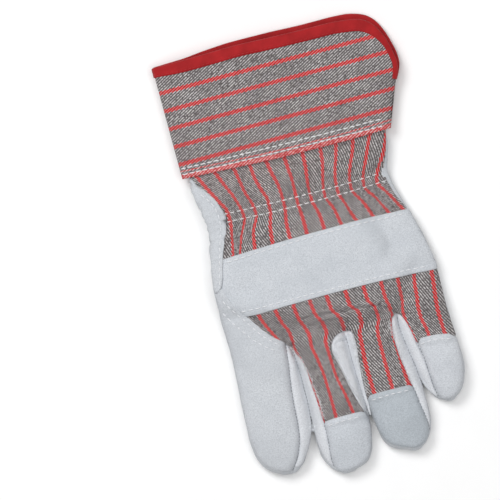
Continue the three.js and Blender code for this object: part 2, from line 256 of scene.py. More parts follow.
def add_mesh(name, points, faces, material=None):
    """An object from millimetre points in the glove's own plan, put in the frame in metres."""
    mesh = bpy.data.meshes.new(name)
    mesh.from_pydata(((np.asarray(points) + SHIFT) * MM).tolist(), [], faces)
    mesh.polygons.foreach_set("use_smooth", [True] * len(mesh.polygons))
    thing = bpy.data.objects.new(name, mesh)
    bpy.context.scene.collection.objects.link(thing)
    if material:
        mesh.materials.append(material)
    mesh.update()
    return thing


def apply_modifiers(thing):
    """The mesh that the modifiers give, kept in place of the first one."""
    graph = bpy.context.evaluated_depsgraph_get()
    made = bpy.data.meshes.new_from_object(thing.evaluated_get(graph))
    old = thing.data
    thing.modifiers.clear()
    thing.data = made
    bpy.data.meshes.remove(old)


def plan_points(thing):
    """Vertex places in the glove's own plan, in millimetres."""
    flat = np.empty(len(thing.data.vertices) * 3)
    thing.data.vertices.foreach_get("co", flat)
    return flat.reshape(-1, 3) / MM - SHIFT


def set_points(thing, points):
    thing.data.vertices.foreach_set("co", ((points + SHIFT) * MM).ravel())
    thing.data.update()


def lumps(points, size, depth, seed):
    """Soft uneven swelling, with features of one size."""
    offset = Vector((seed * 13.7, seed * 5.1, seed * 9.3))
    return np.array([depth * noise.noise(Vector(p) / size + offset) for p in points])


def principled(name, roughness, sheen=0.0, specular=0.3):
    """A plain material to build on, with its node tree and its shader."""
    material = bpy.data.materials.new(name)
    material.use_nodes = True
    shader = material.node_tree.nodes["Principled BSDF"]
    shader.inputs["Roughness"].default_value = roughness
    shader.inputs["Specular IOR Level"].default_value = specular
    shader.inputs["Sheen Weight"].default_value = sheen
    shader.inputs["Sheen Roughness"].default_value = 0.6
    return material, material.node_tree, shader


def node(tree, kind, **inputs):
    """A new node with plain values in its sockets, named with _ for each space."""
    made = tree.nodes.new(kind)
    for key, value in inputs.items():
        made.inputs[key.replace("_", " ")].default_value = value
    return made


def grain(tree, scale, detail, roughness=0.5):
    """Noise fixed to the piece, with more waves to the metre at a larger scale."""
    place = tree.nodes.new("ShaderNodeTexCoord").outputs["Object"]
    texture = node(tree, "ShaderNodeTexNoise", Scale=scale, Detail=detail, Roughness=roughness)
    tree.links.new(place, texture.inputs["Vector"])
    return texture.outputs["Fac"]


def stretched(tree, value, low, high, most=1.0):
    """A value spread out so that low becomes 0 and high becomes the most."""
    spread = node(tree, "ShaderNodeMapRange", From_Min=low, From_Max=high, To_Max=most)
    tree.links.new(value, spread.inputs["Value"])
    return spread.outputs[0]


def raised(tree, height, strength, distance, beneath=None):
    """A bumped surface, on top of another one where that is given."""
    bump = node(tree, "ShaderNodeBump", Strength=strength, Distance=distance)
    tree.links.new(height, bump.inputs["Height"])
    if beneath:
        tree.links.new(beneath, bump.inputs["Normal"])
    return bump.outputs["Normal"]


def blend_colours(tree, factor, first, second):
    """Mix of two colours, each a socket or a plain colour."""
    mix = tree.nodes.new("ShaderNodeMix")
    mix.data_type = "RGBA"
    for socket, value in ((mix.inputs[0], factor), (mix.inputs[6], first), (mix.inputs[7], second)):
        if isinstance(value, bpy.types.NodeSocket):
            tree.links.new(value, socket)
        else:
            socket.default_value = value
    return mix.outputs[2]


# How dark the specks are beside the shaded patches
SPECKLE_SHADE = 0.80


def suede(name, colour, shade):
    """Split leather with a short nap: cloudy patches, fine speckle and soft fibres."""
    material, tree, shader = principled(name, roughness=0.95, sheen=0.12, specular=0.15)
    clouds = grain(tree, scale=42, detail=4, roughness=0.6)
    speckle = grain(tree, scale=1700, detail=3, roughness=0.7)
    fibres = grain(tree, scale=3600, detail=2, roughness=0.6)
    patchy = blend_colours(tree, stretched(tree, clouds, 0.35, 0.68), shade, colour)
    dark = tuple(c * SPECKLE_SHADE for c in shade[:3]) + (1,)
    spotted = blend_colours(tree, stretched(tree, speckle, 0.38, 0.58), dark, patchy)
    tree.links.new(spotted, shader.inputs["Base Color"])
    rough = raised(tree, speckle, strength=0.3, distance=0.0003)
    fine = raised(tree, fibres, strength=0.3, distance=0.00015, beneath=rough)
    tree.links.new(fine, shader.inputs["Normal"])
    return material


SUEDE_LIGHT = (0.645, 0.668, 0.70, 1)
SUEDE_SHADE = (0.565, 0.59, 0.625, 1)
suede_plain = suede("pale_suede", SUEDE_LIGHT, SUEDE_SHADE)

skin_points = []
skin_faces = []
for rows in (HAND, INDEX, MIDDLE, RING, LITTLE):
    rings = tube_rings(rows)
    skin_faces += ring_faces(len(rings), len(rings[0]), len(skin_points))
    skin_points += [tuple(point) for r in rings for point in r]
skin_points = np.array(skin_points)
high_share = np.clip(skin_points[:, 2] / LIFT_HEIGHT, 0, 1)
skin_points[:, 2] += thumb_lift(skin_points[:, 0], skin_points[:, 1]) * (1 - LIFT_LOSS * high_share)
skin = add_mesh("leather_skin", skin_points, skin_faces, suede_plain)
remesh = skin.modifiers.new("fuse", "REMESH")
remesh.mode = "VOXEL"
remesh.voxel_size = SKIN_VOXEL * MM
remesh.use_smooth_shade = True
soften = skin.modifiers.new("soften", "SMOOTH")
soften.factor = 0.5
soften.iterations = 6
apply_modifiers(skin)


def mesh_normals(thing):
    flat = np.empty(len(thing.data.vertices) * 3)
    thing.data.vertices.foreach_get("normal", flat)
    return flat.reshape(-1, 3)


def edge_distance(outline, points, closed=True):
    """Distance of each point from a plan line."""
    best = np.full(len(points), 1e9)
    ends = np.roll(outline, -1, axis=0)
    pairs = list(zip(np.asarray(outline, float), ends))
    for start, end in pairs if closed else pairs[:-1]:
        along = end - start
        length = max(float(along @ along), 1e-9)
        t = np.clip(((points - start) @ along) / length, 0, 1)
        best = np.minimum(best, np.hypot(*(points - start - t[:, None] * along).T))
    return best


def hump(away, width):
    """A smooth rise that is 1 at no distance and has died away by about twice its width."""
    return np.exp(-(away / width) ** 2)


# Seams along the finger backs, where the side walls meet the caps and each other
SEAM_DEPTH = 1.5
SEAM_WIDTH = 1.3
SEAMS = {
    "index": [(-23.8, -54.6), (-24.7, -64.6), (-26.8, -76), (-28.4, -90), (-29.4, -106), (-31.0, -114.6),
              (-34.8, -123.2), (-39.4, -129.6)],
    "index_middle": [(-22.8, -57), (-20.4, -62), (-19.9, -72), (-20.0, -93), (-21.0, -107)],
    "middle": [(-13.8, -106), (-13.9, -117), (-15.1, -128), (-14.6, -134)],
    "middle_ring": [(11.9, -61), (12.3, -66), (12.1, -76), (12.6, -90), (13.1, -104), (13.8, -111)],
    "ring": [(43.2, -98), (44.8, -110), (46.4, -120), (46.4, -127)],
    "ring_little": [(45.1, -57), (44.6, -63), (46.2, -76), (48.0, -88), (49.2, -100)],
    "little": [(52.6, -74), (54.3, -84), (54.9, -94), (55.3, -103), (56.8, -110)],
}

# Soft hollows pressed into the leather and cloth: x, y, reach along each way, turn and depth
HOLLOWS = [
    (-41.0, -84.0, 4.5, 17.0, 12.0, 0.9),
    (-52.0, -66.0, 3.0, 12.0, 5.0, 0.45),
    (-34.5, -70.0, 3.0, 10.0, 6.0, -0.4),
    (-46.0, -106.0, 5.0, 8.0, 10.0, -0.3),
    (0.0, -118.0, 5.0, 6.0, 0.0, -0.3),
    (66.0, -88.0, 5.0, 10.0, 0.0, -0.35),
    (32.0, -114.0, 8.0, 6.0, 0.0, -0.3),
    (10.0, -14.0, 26.0, 8.0, 4.0, -0.35),
    (-36.0, -18.0, 8.0, 7.0, 30.0, 0.45),
    (52.0, -20.0, 9.0, 9.0, 0.0, 0.35),
]


def hollows(flat):
    """Height that the soft hollows take off or add over plan points."""
    depth = np.zeros(len(flat))
    for x, y, reach_x, reach_y, turn, dent in HOLLOWS:
        c = math.cos(math.radians(turn))
        s = math.sin(math.radians(turn))
        u = (flat[:, 0] - x) * c + (flat[:, 1] - y) * s
        v = (flat[:, 1] - y) * c - (flat[:, 0] - x) * s
        depth -= dent * np.exp(-(u / reach_x) ** 2 - (v / reach_y) ** 2)
    return depth


points = plan_points(skin)
outward = mesh_normals(skin)
swell = lumps(points, size=22, depth=0.9, seed=1) + lumps(points, size=8, depth=0.35, seed=2)
# The hollows fade out towards the palm side, and all the swelling does so inside the cuff
swell += hollows(points) * np.clip(points[:, 2] / 8 - 0.6, 0, 1)
swell *= np.clip((56 - points[:, 1]) / 10, 0, 1)
upper_side = np.clip(outward[:, 2] * 2, 0, 1)
for line in SEAMS.values():
    far = edge_distance(np.array(line), points[:, :2], closed=False)
    swell -= SEAM_DEPTH * upper_side * hump(far, SEAM_WIDTH)
points += outward * swell[:, None]
points[:, 2] = np.maximum(points[:, 2], 0.0)
set_points(skin, points)


def tree_of(*things):
    """Ray tree over the pieces, in the glove's own plan."""
    places = []
    faces = []
    for thing in things:
        first = len(places)
        places += [tuple(p) for p in plan_points(thing)]
        faces += [tuple(first + i for i in face.vertices) for face in thing.data.polygons]
    return BVHTree.FromPolygons(places, faces)


# Rays start at the sky, and a ray that meets nothing takes the point nearest to the middle height
SKY = 80.0
MIDDLE_HEIGHT = 9.0
skin_tree = tree_of(skin)


def on_top(tree, x, y, least=0.0):
    """Highest point of the pieces over a plan point, and the way the surface faces there.

    Nothing is placed below the least height.
    """
    place, facing, _, _ = tree.ray_cast(Vector((x, y, SKY)), Vector((0, 0, -1)))
    if place is None and least:
        place, facing = Vector((x, y, least)), Vector((0, 0, 1))
    if place is None:
        place, facing, _, _ = tree.find_nearest(Vector((x, y, MIDDLE_HEIGHT)))
    if facing.z < 0:
        facing = -facing
    if place.z < least:
        return Vector((x, y, least)), Vector((0, 0, 1))
    return place, facing


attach(skin, "root")
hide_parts("palm", "finger_front")

# Thumb pocket, folded flat across the palm.
# One piece of the same split leather, sewn into a pocket and turned, then pressed flat, with soft
# lumps over it.
THUMB_RINGS = 54
THUMB_SIDES = 48
THUMB_FLATNESS = 0.6
THUMB_END_SHARE = 0.25


def thumb_rings():
    """Rings along the pocket, flat above and below and lower at its two ends."""
    along = np.linspace(THUMB[0][0], THUMB[-1][0], THUMB_RINGS)
    low = through([r[0] for r in THUMB], [r[1] for r in THUMB], along)
    high = through([r[0] for r in THUMB], [r[2] for r in THUMB], along)
    angle = np.linspace(0, 2 * np.pi, THUMB_SIDES, endpoint=False)
    rings = []
    for k, place in enumerate(along):
        half = (high[k] - low[k]) / 2
        across = (high[k] + low[k]) / 2 + half * np.cos(angle)
        swell = np.sign(np.sin(angle)) * np.abs(np.sin(angle)) ** THUMB_FLATNESS
        full = math.sqrt(max(0.0, 1 - ((k / (THUMB_RINGS - 1) - 0.5) / 0.5) ** 16))
        end = full * (1 - THUMB_END_SHARE) + THUMB_END_SHARE
        x = THUMB_ROOT[0] + place * math.cos(THUMB_HEADING) - across * math.sin(THUMB_HEADING)
        y = THUMB_ROOT[1] + place * math.sin(THUMB_HEADING) + across * math.cos(THUMB_HEADING)
        z = THUMB_HEIGHT / 2 + THUMB_HEIGHT / 2 * swell * end
        rings.append(np.stack([x, y, z], axis=1))
    return rings


rings = thumb_rings()
points = np.concatenate(rings)
bumps = lumps(points, size=16, depth=0.5, seed=3)
points[:, 2] = np.clip(points[:, 2] + bumps, 0.0, THUMB_HEIGHT)
thumb = add_mesh("thumb_pocket", points, ring_faces(len(rings), len(rings[0])), suede_plain)
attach(thumb, "root")
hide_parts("thumb")

# Canvas back: one piece of striped cotton twill over the back of the hand and three fingers.
# The stripes run along the hand. Two rows of elastic stitching draw it together at the wrist, so
# the cloth stands in small gathers above and below them.
CANVAS_THICKNESS = 0.9
STRIPE_PITCH = 10.7
OUTER_STRIPES = 4
STRAP_MIDDLE = -15
GATHER_ROWS = (28.3, 23.2)
GATHER_REACH = 17.0
GATHER_PITCHES = (5.1, 8.7)
GATHER_DEPTHS = (0.62, 0.42)
GATHER_DRIFT = 2.4
GATHER_CORE = 3.0
SIDE_SHIFT = 1.7
CRIMP_PITCH = 2.7
CRIMP_DEPTH = 0.34
CRIMP_CORE = 2.6
CRIMP_FALL = 2.2
ROW_WIDTH = 1.1
ROW_DEPTH = 0.6

BACK_OUTLINE = [
    (-53, 60), (-52.6, 54.5), (-46.6, 44), (-43.4, 36), (-42.4, 28), (-43.2, 20), (-46.6, 10), (-50, 0),
    (-50.6, -10), (-47.6, -24), (-41.9, -33.6), (-38.3, -38.9), (-34.2, -44.9), (-29.8, -49.7), (-26, -52.6),
    (-23.0, -55.4), (-20.4, -59.6), (-17.2, -65.4), (-15.4, -71.2), (-15.2, -81.5), (-14.2, -92),
    (-13.8, -108), (-13.6, -110), (11.4, -110), (11, -106), (8.6, -99.1), (6.4, -90.4), (4.6, -80.7),
    (3.2, -73.2), (1.7, -67.5), (2.1, -63.2), (4.2, -59.4), (8.1, -56.9), (12.5, -56.1), (15.9, -56.9),
    (17.2, -60), (17.3, -67), (16.3, -76.6), (15.5, -85), (15.2, -98), (15.4, -101.5), (42.8, -101.5),
    (42.5, -97.5), (41.4, -89.6), (39.8, -80), (39.4, -70), (40.2, -61), (41.5, -55.4), (43.4, -53.8),
    (45.9, -54.0), (48.0, -56.4), (50, -62), (51.4, -68.5), (52.4, -76), (76, -79), (75.2, -68),
    (74.8, -58), (75.2, -47), (75.4, -36), (74.4, -24), (72, -13), (67, 4.5), (63, 14), (60.0, 22),
    (59.3, 28), (61.4, 36), (65, 44), (67, 54), (67, 60),
]


def run_of(line):
    """Distance along a plan line at each of its points."""
    return np.concatenate([[0], np.cumsum(np.hypot(*np.diff(line, axis=0).T))])


def along_line(line, at):
    """Plan points at the given distances along a line."""
    run = run_of(line)
    return np.stack([np.interp(at, run, line[:, 0]), np.interp(at, run, line[:, 1])], axis=1)


def resample(outline, pitch, closed=True):
    """Even points along a plan line."""
    line = np.array(outline, float)
    if closed:
        line = np.vstack([line, line[:1]])
    length = run_of(line)[-1]
    count = max(2, int(round(length / pitch)))
    if closed:
        return along_line(line, np.linspace(0, length, count, endpoint=False))
    return along_line(line, np.linspace(0, length, count + 1))


def rounded(outline):
    """Each corner cut off, so that a short outline makes a smooth edge."""
    line = np.array(outline, float)
    after = np.roll(line, -1, axis=0)
    return np.stack([0.75 * line + 0.25 * after, 0.25 * line + 0.75 * after], axis=1).reshape(-1, 2)


def inside(outline, points):
    """Which points lie inside a closed plan line."""
    x = points[:, 0]
    y = points[:, 1]
    hit = np.zeros(len(points), bool)
    for (x0, y0), (x1, y1) in zip(outline, np.roll(outline, -1, axis=0)):
        if y0 == y1:
            continue
        crosses = (y0 > y) != (y1 > y)
        hit ^= crosses & (x < (x1 - x0) * (y - y0) / (y1 - y0) + x0)
    return hit


# Height of an even triangle as a share of its side
ROW_SPACING = 0.866


def cut_cloth(outline, pitch, lip):
    """Flat triangles inside a rounded outline, with a row of points a lip's width inside its edge."""
    edge = resample(rounded(outline), pitch)
    ahead = np.roll(edge, -1, axis=0) - np.roll(edge, 1, axis=0)
    ahead /= np.hypot(*ahead.T)[:, None]
    area = np.sum(edge[:, 0] * np.roll(edge[:, 1], -1) - edge[:, 1] * np.roll(edge[:, 0], -1))
    inward = np.stack([-ahead[:, 1], ahead[:, 0]], axis=1) * np.sign(area)
    low = edge.min(axis=0)
    high = edge.max(axis=0)
    across = np.arange(low[0], high[0], pitch)
    up = np.arange(low[1], high[1], pitch * ROW_SPACING)
    grid = np.array([(x + (k % 2) * pitch / 2, y) for k, y in enumerate(up) for x in across])
    grid = grid[inside(edge, grid)]
    grid = grid[edge_distance(edge, grid) > lip + 0.55 * pitch]
    lips = edge + inward * lip
    lips = lips[inside(edge, lips)]
    lips = lips[edge_distance(edge, lips) > lip * 0.8]
    flat = [Vector(p) for p in np.vstack([edge, lips, grid])]
    made = delaunay_2d_cdt(flat, [], [list(range(len(edge)))], 1, 1e-5)
    places = np.array([tuple(v) for v in made[0]])
    return places, [tuple(face) for face in made[2]], edge


def border_loops(faces):
    """Directed edges that only one face uses."""
    seen = set()
    for face in faces:
        for a, b in zip(face, face[1:] + face[:1]):
            seen.add((a, b))
    return [(a, b) for a, b in seen if (b, a) not in seen]


def closed_shell(faces, count):
    """Faces of a sheet, the same faces turned over on its other side, and the wall round its edge."""
    shell = list(faces)
    shell += [tuple(count + i for i in reversed(face)) for face in faces]
    shell += [(b, a, a + count, b + count) for a, b in border_loops(faces)]
    return shell


def sewn_sheet(name, outline, tree, rise, thickness, material, pitch, lip, shape, sink=0.35, least=0.0):
    """A cut piece laid on the surface beneath it, with a worn edge and its own folds."""
    flat, faces, edge = cut_cloth(outline, pitch, lip)
    depth = edge_distance(edge, flat)
    fold = shape(flat, depth)
    worn = 1 - sink * (1 - np.clip(depth / lip, 0, 1)) ** 2
    top = []
    under = []
    for (x, y), lift, wear in zip(flat, fold, worn):
        place, facing = on_top(tree, x, y, least)
        top.append(place + facing * (rise * wear + lift))
        under.append(place + facing * (rise * wear - thickness + lift))
    piece = add_mesh(name, [tuple(p) for p in top + under], closed_shell(faces, len(flat)), material)
    return piece, np.vstack([flat, flat])


def map_cloth(piece, name, coordinates):
    """Cloth coordinates of every vertex, as a UV map."""
    layer = piece.data.uv_layers.new(name=name)
    corners = np.empty(len(piece.data.loops), int)
    piece.data.loops.foreach_get("vertex_index", corners)
    layer.data.foreach_set("uv", np.asarray(coordinates, float)[corners].ravel())


# Where each red stripe crosses a line across the hand, counted from the thumb side, at each y
WRIST_STRIPES = [
    (56, [-49.4, -38.4, -26.6, -16.9, -7.0, 4.1, 15.5, 26.8, 36.9, 47.6, 58.6, 68.2]),
    (46, [-44.8, -34.4, -25.0, -16.2, -5.6, 4.8, 15.2, 26.0, 34.2, 44.6, 53.8, 64.6]),
    (38, [-40.4, -30.8, -23.6, -14.0, -3.6, 5.2, 14.2, 24.2, 31.6, 41.0, 50.4, 60.4]),
    (31, [-36.9, -28.8, -21.4, -11.8, -3.0, 4.9, 13.4, 22.4, 30.2, 38.8, 47.2, 55.8]),
    (25, [-36.6, -28.0, -20.8, -12.0, -3.0, 5.0, 13.4, 21.6, 30.0, 38.2, 46.0, 54.0]),
    (14, [-38.0, -32.6, -25.4, -14.7, -4.6, 5.6, 15.9, 25.4, 32.9, 43.5, 51.8, 59.7]),
    (4, [-40.0, -36.6, -27.0, -15.8, -4.9, 5.6, 16.5, 27.4, 36.4, 47.0, 56.6, 65.0]),
]
KNUCKLE_STRIPES = [
    (-35, [-34.6, -24.3, -13.2, -3.2, 7.4, 19.0, 30.0, 40.8, 50.8, 60.9, 71.5]),
    (-42, [-32.0, -22.6, -12.2, -2.0, 8.0, 19.2, 30.4, 40.8, 50.4, 59.8, 71.0]),
    (-48, [-29.2, -20.0, -10.0, 1.0, 11.8, 23.4, 33.8, 41.4, 50.2, 59.4, 70.2]),
    (-54, [-26.6, -19.4, -8.6, 1.6, 12.4, 23.4, 34.2, 41.8, 49.2, 58.4, 69.6]),
    (-60, [-25.6, -18.8, -9.0, -0.6, 11.0, 20.8, 31.8, 40.4, 49.4, 58.4, 69.2]),
    (-68, [-24.8, -17.0, -7.6, -0.4, 9.0, 20.4, 31.0, 39.4, 51.0, 60.0, 69.4]),
    (-80, [-23.8, -15.0, -6.2, 0.2, 8.5, 19.6, 31.0, 39.8, 53.0, 61.0, 70.0]),
    (-95, [-23.0, -13.8, -6.0, 3.2, 10.0, 20.0, 31.2, 40.7, 53.5, 61.5, 70.0]),
    (-108, [-22.5, -13.7, -6.0, 5.2, 12.0, 21.0, 32.0, 42.2, 54.0, 62.0, 70.0]),
]


def stripe_count(rows, flat):
    """Stripe number of each point, counted from the thumb side, with a few beyond the table's."""
    ys = [row[0] for row in rows]
    lines = np.array([row[1] for row in rows])
    places = np.stack([through(ys, lines[:, k], flat[:, 1]) for k in range(lines.shape[1])], axis=1)
    first = places[:, :1] - STRIPE_PITCH * np.arange(OUTER_STRIPES, 0, -1)
    last = places[:, -1:] + STRIPE_PITCH * np.arange(1, OUTER_STRIPES)
    places = np.hstack([first, places, last])
    numbers = np.arange(places.shape[1]) - OUTER_STRIPES
    return np.array([np.interp(x, row, numbers) for x, row in zip(flat[:, 0], places)])


def back_stripes(flat):
    """Stripe numbers from the two tables, which meet out of sight under the strap."""
    above = stripe_count(WRIST_STRIPES, flat)
    below = stripe_count(KNUCKLE_STRIPES, flat)
    return np.where(flat[:, 1] > STRAP_MIDDLE, above, below)


# Short creases that the cloth keeps: x and y of both ends, width and depth
BACK_CREASES = [
    (-9, -43.2, 2, -43.6, 1.0, 0.35),
    (2, -43.6, 14, -45.2, 0.9, 0.6),
    (14, -45.2, 33, -46.4, 0.9, 0.95),
    (33, -46.4, 40, -49.6, 0.9, 0.8),
    (40, -49.6, 43.6, -53.0, 0.9, 0.7),
    (-27.5, 39.5, -21.5, 31.5, 1.0, 0.7),
    (-32.5, 22.5, -35.0, 14.0, 0.7, 0.8),
    (-35.0, 14.0, -35.4, 6.0, 0.7, 0.8),
    (5.6, 40.0, 8.2, 30.5, 0.8, 0.55),
    (44.5, 23.0, 57.5, 8.0, 0.9, 0.7),
    (39.0, 27.0, 35.0, 36.0, 0.8, 0.5),
    (29.5, 30.0, 27.5, 40.0, 0.8, 0.4),
    (-14.0, 31.0, -17.5, 38.0, 0.8, 0.4),
    (20.0, 20.0, 24.0, 9.0, 0.9, 0.4),
    (-6.4, -66, -5.4, -100, 1.2, 0.35),
    (44.0, -42.0, 45.0, -53.0, 0.9, 0.6),
    (51.5, -58.0, 53.5, -70.0, 1.0, 0.35),
]


def back_folds(flat, depth):
    """Gathers at the elastic rows, the creases that the cloth keeps, and the soft hollows."""
    x = flat[:, 0]
    y = flat[:, 1]
    drift = np.array([GATHER_DRIFT * noise.noise(Vector((a * 0.09, b * 0.05, 3.3))) for a, b in flat])
    middle = sum(GATHER_ROWS) / 2
    away = np.maximum(np.abs(y - middle) - GATHER_CORE, 0)
    strength = np.exp(-(away / GATHER_REACH * 1.9) ** 1.4)
    side = np.where(y > middle, 0.0, SIDE_SHIFT)
    folds = GATHER_DEPTHS[0] * np.sin(2 * np.pi * (x + drift) / GATHER_PITCHES[0] + side)
    folds += GATHER_DEPTHS[1] * np.sin(2 * np.pi * (x - drift) / GATHER_PITCHES[1] + 2.1 * side)
    pinch = sum(hump(y - row, ROW_WIDTH) for row in GATHER_ROWS)
    between = hump(np.maximum(np.abs(y - middle) - CRIMP_CORE, 0), CRIMP_FALL)
    crimps = np.sin(2 * np.pi * (x + 0.6 * drift) / CRIMP_PITCH) * (0.7 + 0.3 * np.sin(x / 3.1))
    fold = strength * folds + CRIMP_DEPTH * between * crimps - ROW_DEPTH * pinch
    for x0, y0, x1, y1, width, dent in BACK_CREASES:
        line = np.array([(x0, y0), (x1, y1)])
        far = edge_distance(line, flat, closed=False)
        fold += dent * (0.8 * hump(far - 2.2 * width, 1.5 * width) - 1.5 * hump(far, width))
    return fold + 0.1 * drift + hollows(flat)


TWILL_DARK = (0.092, 0.080, 0.080, 1)
TWILL_LIGHT = (0.76, 0.73, 0.73, 1)
TWILL_WORN = (0.10, 0.088, 0.09, 1)
STRIPE_DARK = (0.40, 0.006, 0.008, 1)
STRIPE_LIGHT = (0.60, 0.018, 0.02, 1)
STRIPE_HALF = 0.104
TWILL_PITCH = 1.48
TWILL_SLANT = 0.55
SELVAGE_WIDTH = 2.9
SELVAGE_LINE = 4.6
SELVAGE_LINE_HALF = 0.4
FLECK_GAIN = 3.9
FLECK_CUT = 1.34


def twill(name, selvage):
    """Grey cotton twill with red stripes, which a cloth map counts, and with a selvage at a hem."""
    material, tree, shader = principled(name, roughness=0.9, sheen=0.08, specular=0.2)

    def cloth_map(map_name):
        layer = tree.nodes.new("ShaderNodeUVMap")
        layer.uv_map = map_name
        split = tree.nodes.new("ShaderNodeSeparateXYZ")
        tree.links.new(layer.outputs["UV"], split.inputs[0])
        return split.outputs

    def calc(operation, first, second=0.0, clamp=False):
        step = tree.nodes.new("ShaderNodeMath")
        step.operation = operation
        step.use_clamp = clamp
        for socket, value in zip(step.inputs, (first, second)):
            if isinstance(value, bpy.types.NodeSocket):
                tree.links.new(value, socket)
            else:
                socket.default_value = value
        return step.outputs[0]

    stripes = cloth_map("stripes")
    yarn = grain(tree, scale=850, detail=2, roughness=0.65)
    wear = grain(tree, scale=85, detail=3, roughness=0.6)
    across = calc("MULTIPLY", stripes[0], STRIPE_PITCH)
    slant = calc("ADD", across, calc("MULTIPLY", stripes[1], TWILL_SLANT))
    turn = calc("MULTIPLY", slant, 2 * math.pi / TWILL_PITCH)
    ridge = calc("ADD", calc("MULTIPLY", calc("SINE", turn), 0.5), 0.5)
    fleck = calc("SUBTRACT", calc("MULTIPLY", yarn, FLECK_GAIN), FLECK_CUT, clamp=True)
    crest = calc("POWER", ridge, 1.6)
    lit = calc("MULTIPLY", crest, fleck, clamp=True)
    cloth = blend_colours(tree, lit, TWILL_DARK, TWILL_LIGHT)
    cloth = blend_colours(tree, stretched(tree, wear, 0.38, 0.64, most=0.32), cloth, TWILL_WORN)
    wave = calc("MULTIPLY", calc("SUBTRACT", ridge, 0.5), 0.05)
    centre = calc("ABSOLUTE", calc("SUBTRACT", calc("FRACT", calc("ADD", stripes[0], 0.5)), 0.5))
    band = calc("LESS_THAN", calc("ADD", centre, wave), STRIPE_HALF)
    dyed = blend_colours(tree, fleck, STRIPE_DARK, STRIPE_LIGHT)
    worn = calc("MULTIPLY", calc("POWER", ridge, 4.0), 0.30)
    red = blend_colours(tree, worn, dyed, TWILL_LIGHT)
    cloth = blend_colours(tree, band, cloth, red)
    if selvage:
        rough = calc("MULTIPLY", calc("SUBTRACT", yarn, 0.5), 1.4)
        height = calc("ADD", cloth_map("hem")[0], rough)
        thick = calc("LESS_THAN", height, SELVAGE_WIDTH)
        from_line = calc("ABSOLUTE", calc("SUBTRACT", height, SELVAGE_LINE))
        thin = calc("LESS_THAN", from_line, SELVAGE_LINE_HALF)
        ragged = blend_colours(tree, calc("MULTIPLY", lit, 0.85), dyed, TWILL_LIGHT)
        cloth = blend_colours(tree, calc("MAXIMUM", thick, thin), cloth, ragged)
    tree.links.new(cloth, shader.inputs["Base Color"])
    ribs = raised(tree, calc("ADD", ridge, yarn), strength=0.45, distance=0.0004)
    tree.links.new(ribs, shader.inputs["Normal"])
    return material


twill_back = twill("striped_twill_back", selvage=False)
back, flat = sewn_sheet(
    "canvas_back", BACK_OUTLINE, skin_tree, rise=0.7, thickness=CANVAS_THICKNESS, material=twill_back,
    pitch=0.95, lip=0.4, shape=back_folds,
)
map_cloth(back, "stripes", np.stack([back_stripes(flat), flat[:, 1]], axis=1))
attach(back, "root")
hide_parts("back_panel")


# The hand is canvas alone here, so the leather skin stops just under the canvas edge
OPEN_ABOVE = 10.5
OPEN_BORDER = 3.0


def open_under(thing, outline):
    """Cut away the top of the skin inside an outline, and everything beyond the wrist end."""
    work = bmesh.new()
    work.from_mesh(thing.data)
    places = plan_points(thing)
    covered = inside(outline, places[:, :2])
    covered &= edge_distance(outline, places[:, :2]) > OPEN_BORDER
    covered &= places[:, 2] > OPEN_ABOVE
    covered |= places[:, 1] > WRIST_END
    work.verts.ensure_lookup_table()
    bmesh.ops.delete(work, geom=[work.verts[i] for i in np.flatnonzero(covered)], context="VERTS")
    work.to_mesh(thing.data)
    work.free()


open_under(skin, resample(BACK_OUTLINE, 2.0))
wall = skin.modifiers.new("wall", "SOLIDIFY")
wall.thickness = SKIN_THICKNESS * MM
wall.offset = -1
apply_modifiers(skin)

# Knuckle strap: a band of split leather, 38 mm wide, laid over the canvas behind the knuckles.
# Its edges are cut and left raw, and a row of white stitches holds each long edge.
STRAP_OUTLINE = [
    (-46.4, 3.6), (-24.3, 4.6), (8, 5.3), (40, 5.4), (62, 4.6), (67.4, 4.2), (68.6, 2), (72, -12),
    (74.6, -24), (76.0, -34), (75.0, -35.2), (51, -33.5), (19, -32.8), (-13, -33), (-41, -33.6),
    (-43.6, -31.4), (-48.5, -25.6), (-53.4, -19.0), (-55.0, -14), (-54.4, -8), (-52.6, -2), (-50.6, 3.3),
    (-50.0, 3.5), (-48.2, 3.5),
]
canvas_tree = tree_of(back, skin)


def soft_noise(flat, wide, long, seed):
    """Uneven values from about -1 to 1, with features of the given size across and along."""
    return np.array([noise.noise(Vector((x / wide, y / long, seed))) for x, y in flat])


def strap_folds(flat, depth):
    """A line drawn in by the stitches near the edge, and soft waves over the rest."""
    tight = -0.30 * hump(depth - 3.2, 1.1)
    return tight + 0.45 * soft_noise(flat, 26, 20, 7.7) + 0.5 * hollows(flat)


suede_strap = suede("strap_suede", (0.655, 0.68, 0.715, 1), (0.57, 0.60, 0.64, 1))
strap, _ = sewn_sheet(
    "knuckle_strap_leather", STRAP_OUTLINE, canvas_tree, rise=1.0, thickness=1.5, material=suede_strap,
    pitch=1.6, lip=0.6, shape=strap_folds,
)
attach(strap, "root")
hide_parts("knuckle_strap")

# Edge strip of the palm leather, turned over the index side on to the canvas.
# It is part of the palm piece. Its raw edge is puckered where the elastic draws it in.
STRIP_OUTLINE = [
    (-55.6, 60), (-54.4, 50), (-52.6, 42), (-51.0, 34), (-50.1, 26), (-50.6, 18), (-52.2, 9), (-54.6, -1),
    (-56.0, -11), (-56.2, -15.0), (-54.6, -14.6), (-51.8, -12.2), (-49.9, -8.5), (-47.9, 0.2), (-44.6, 10.4),
    (-41.2, 18), (-39.6, 24), (-39.3, 29.6), (-41.2, 37.5), (-44.2, 42.2), (-47.8, 47.2), (-52.0, 53),
    (-54.5, 60),
]


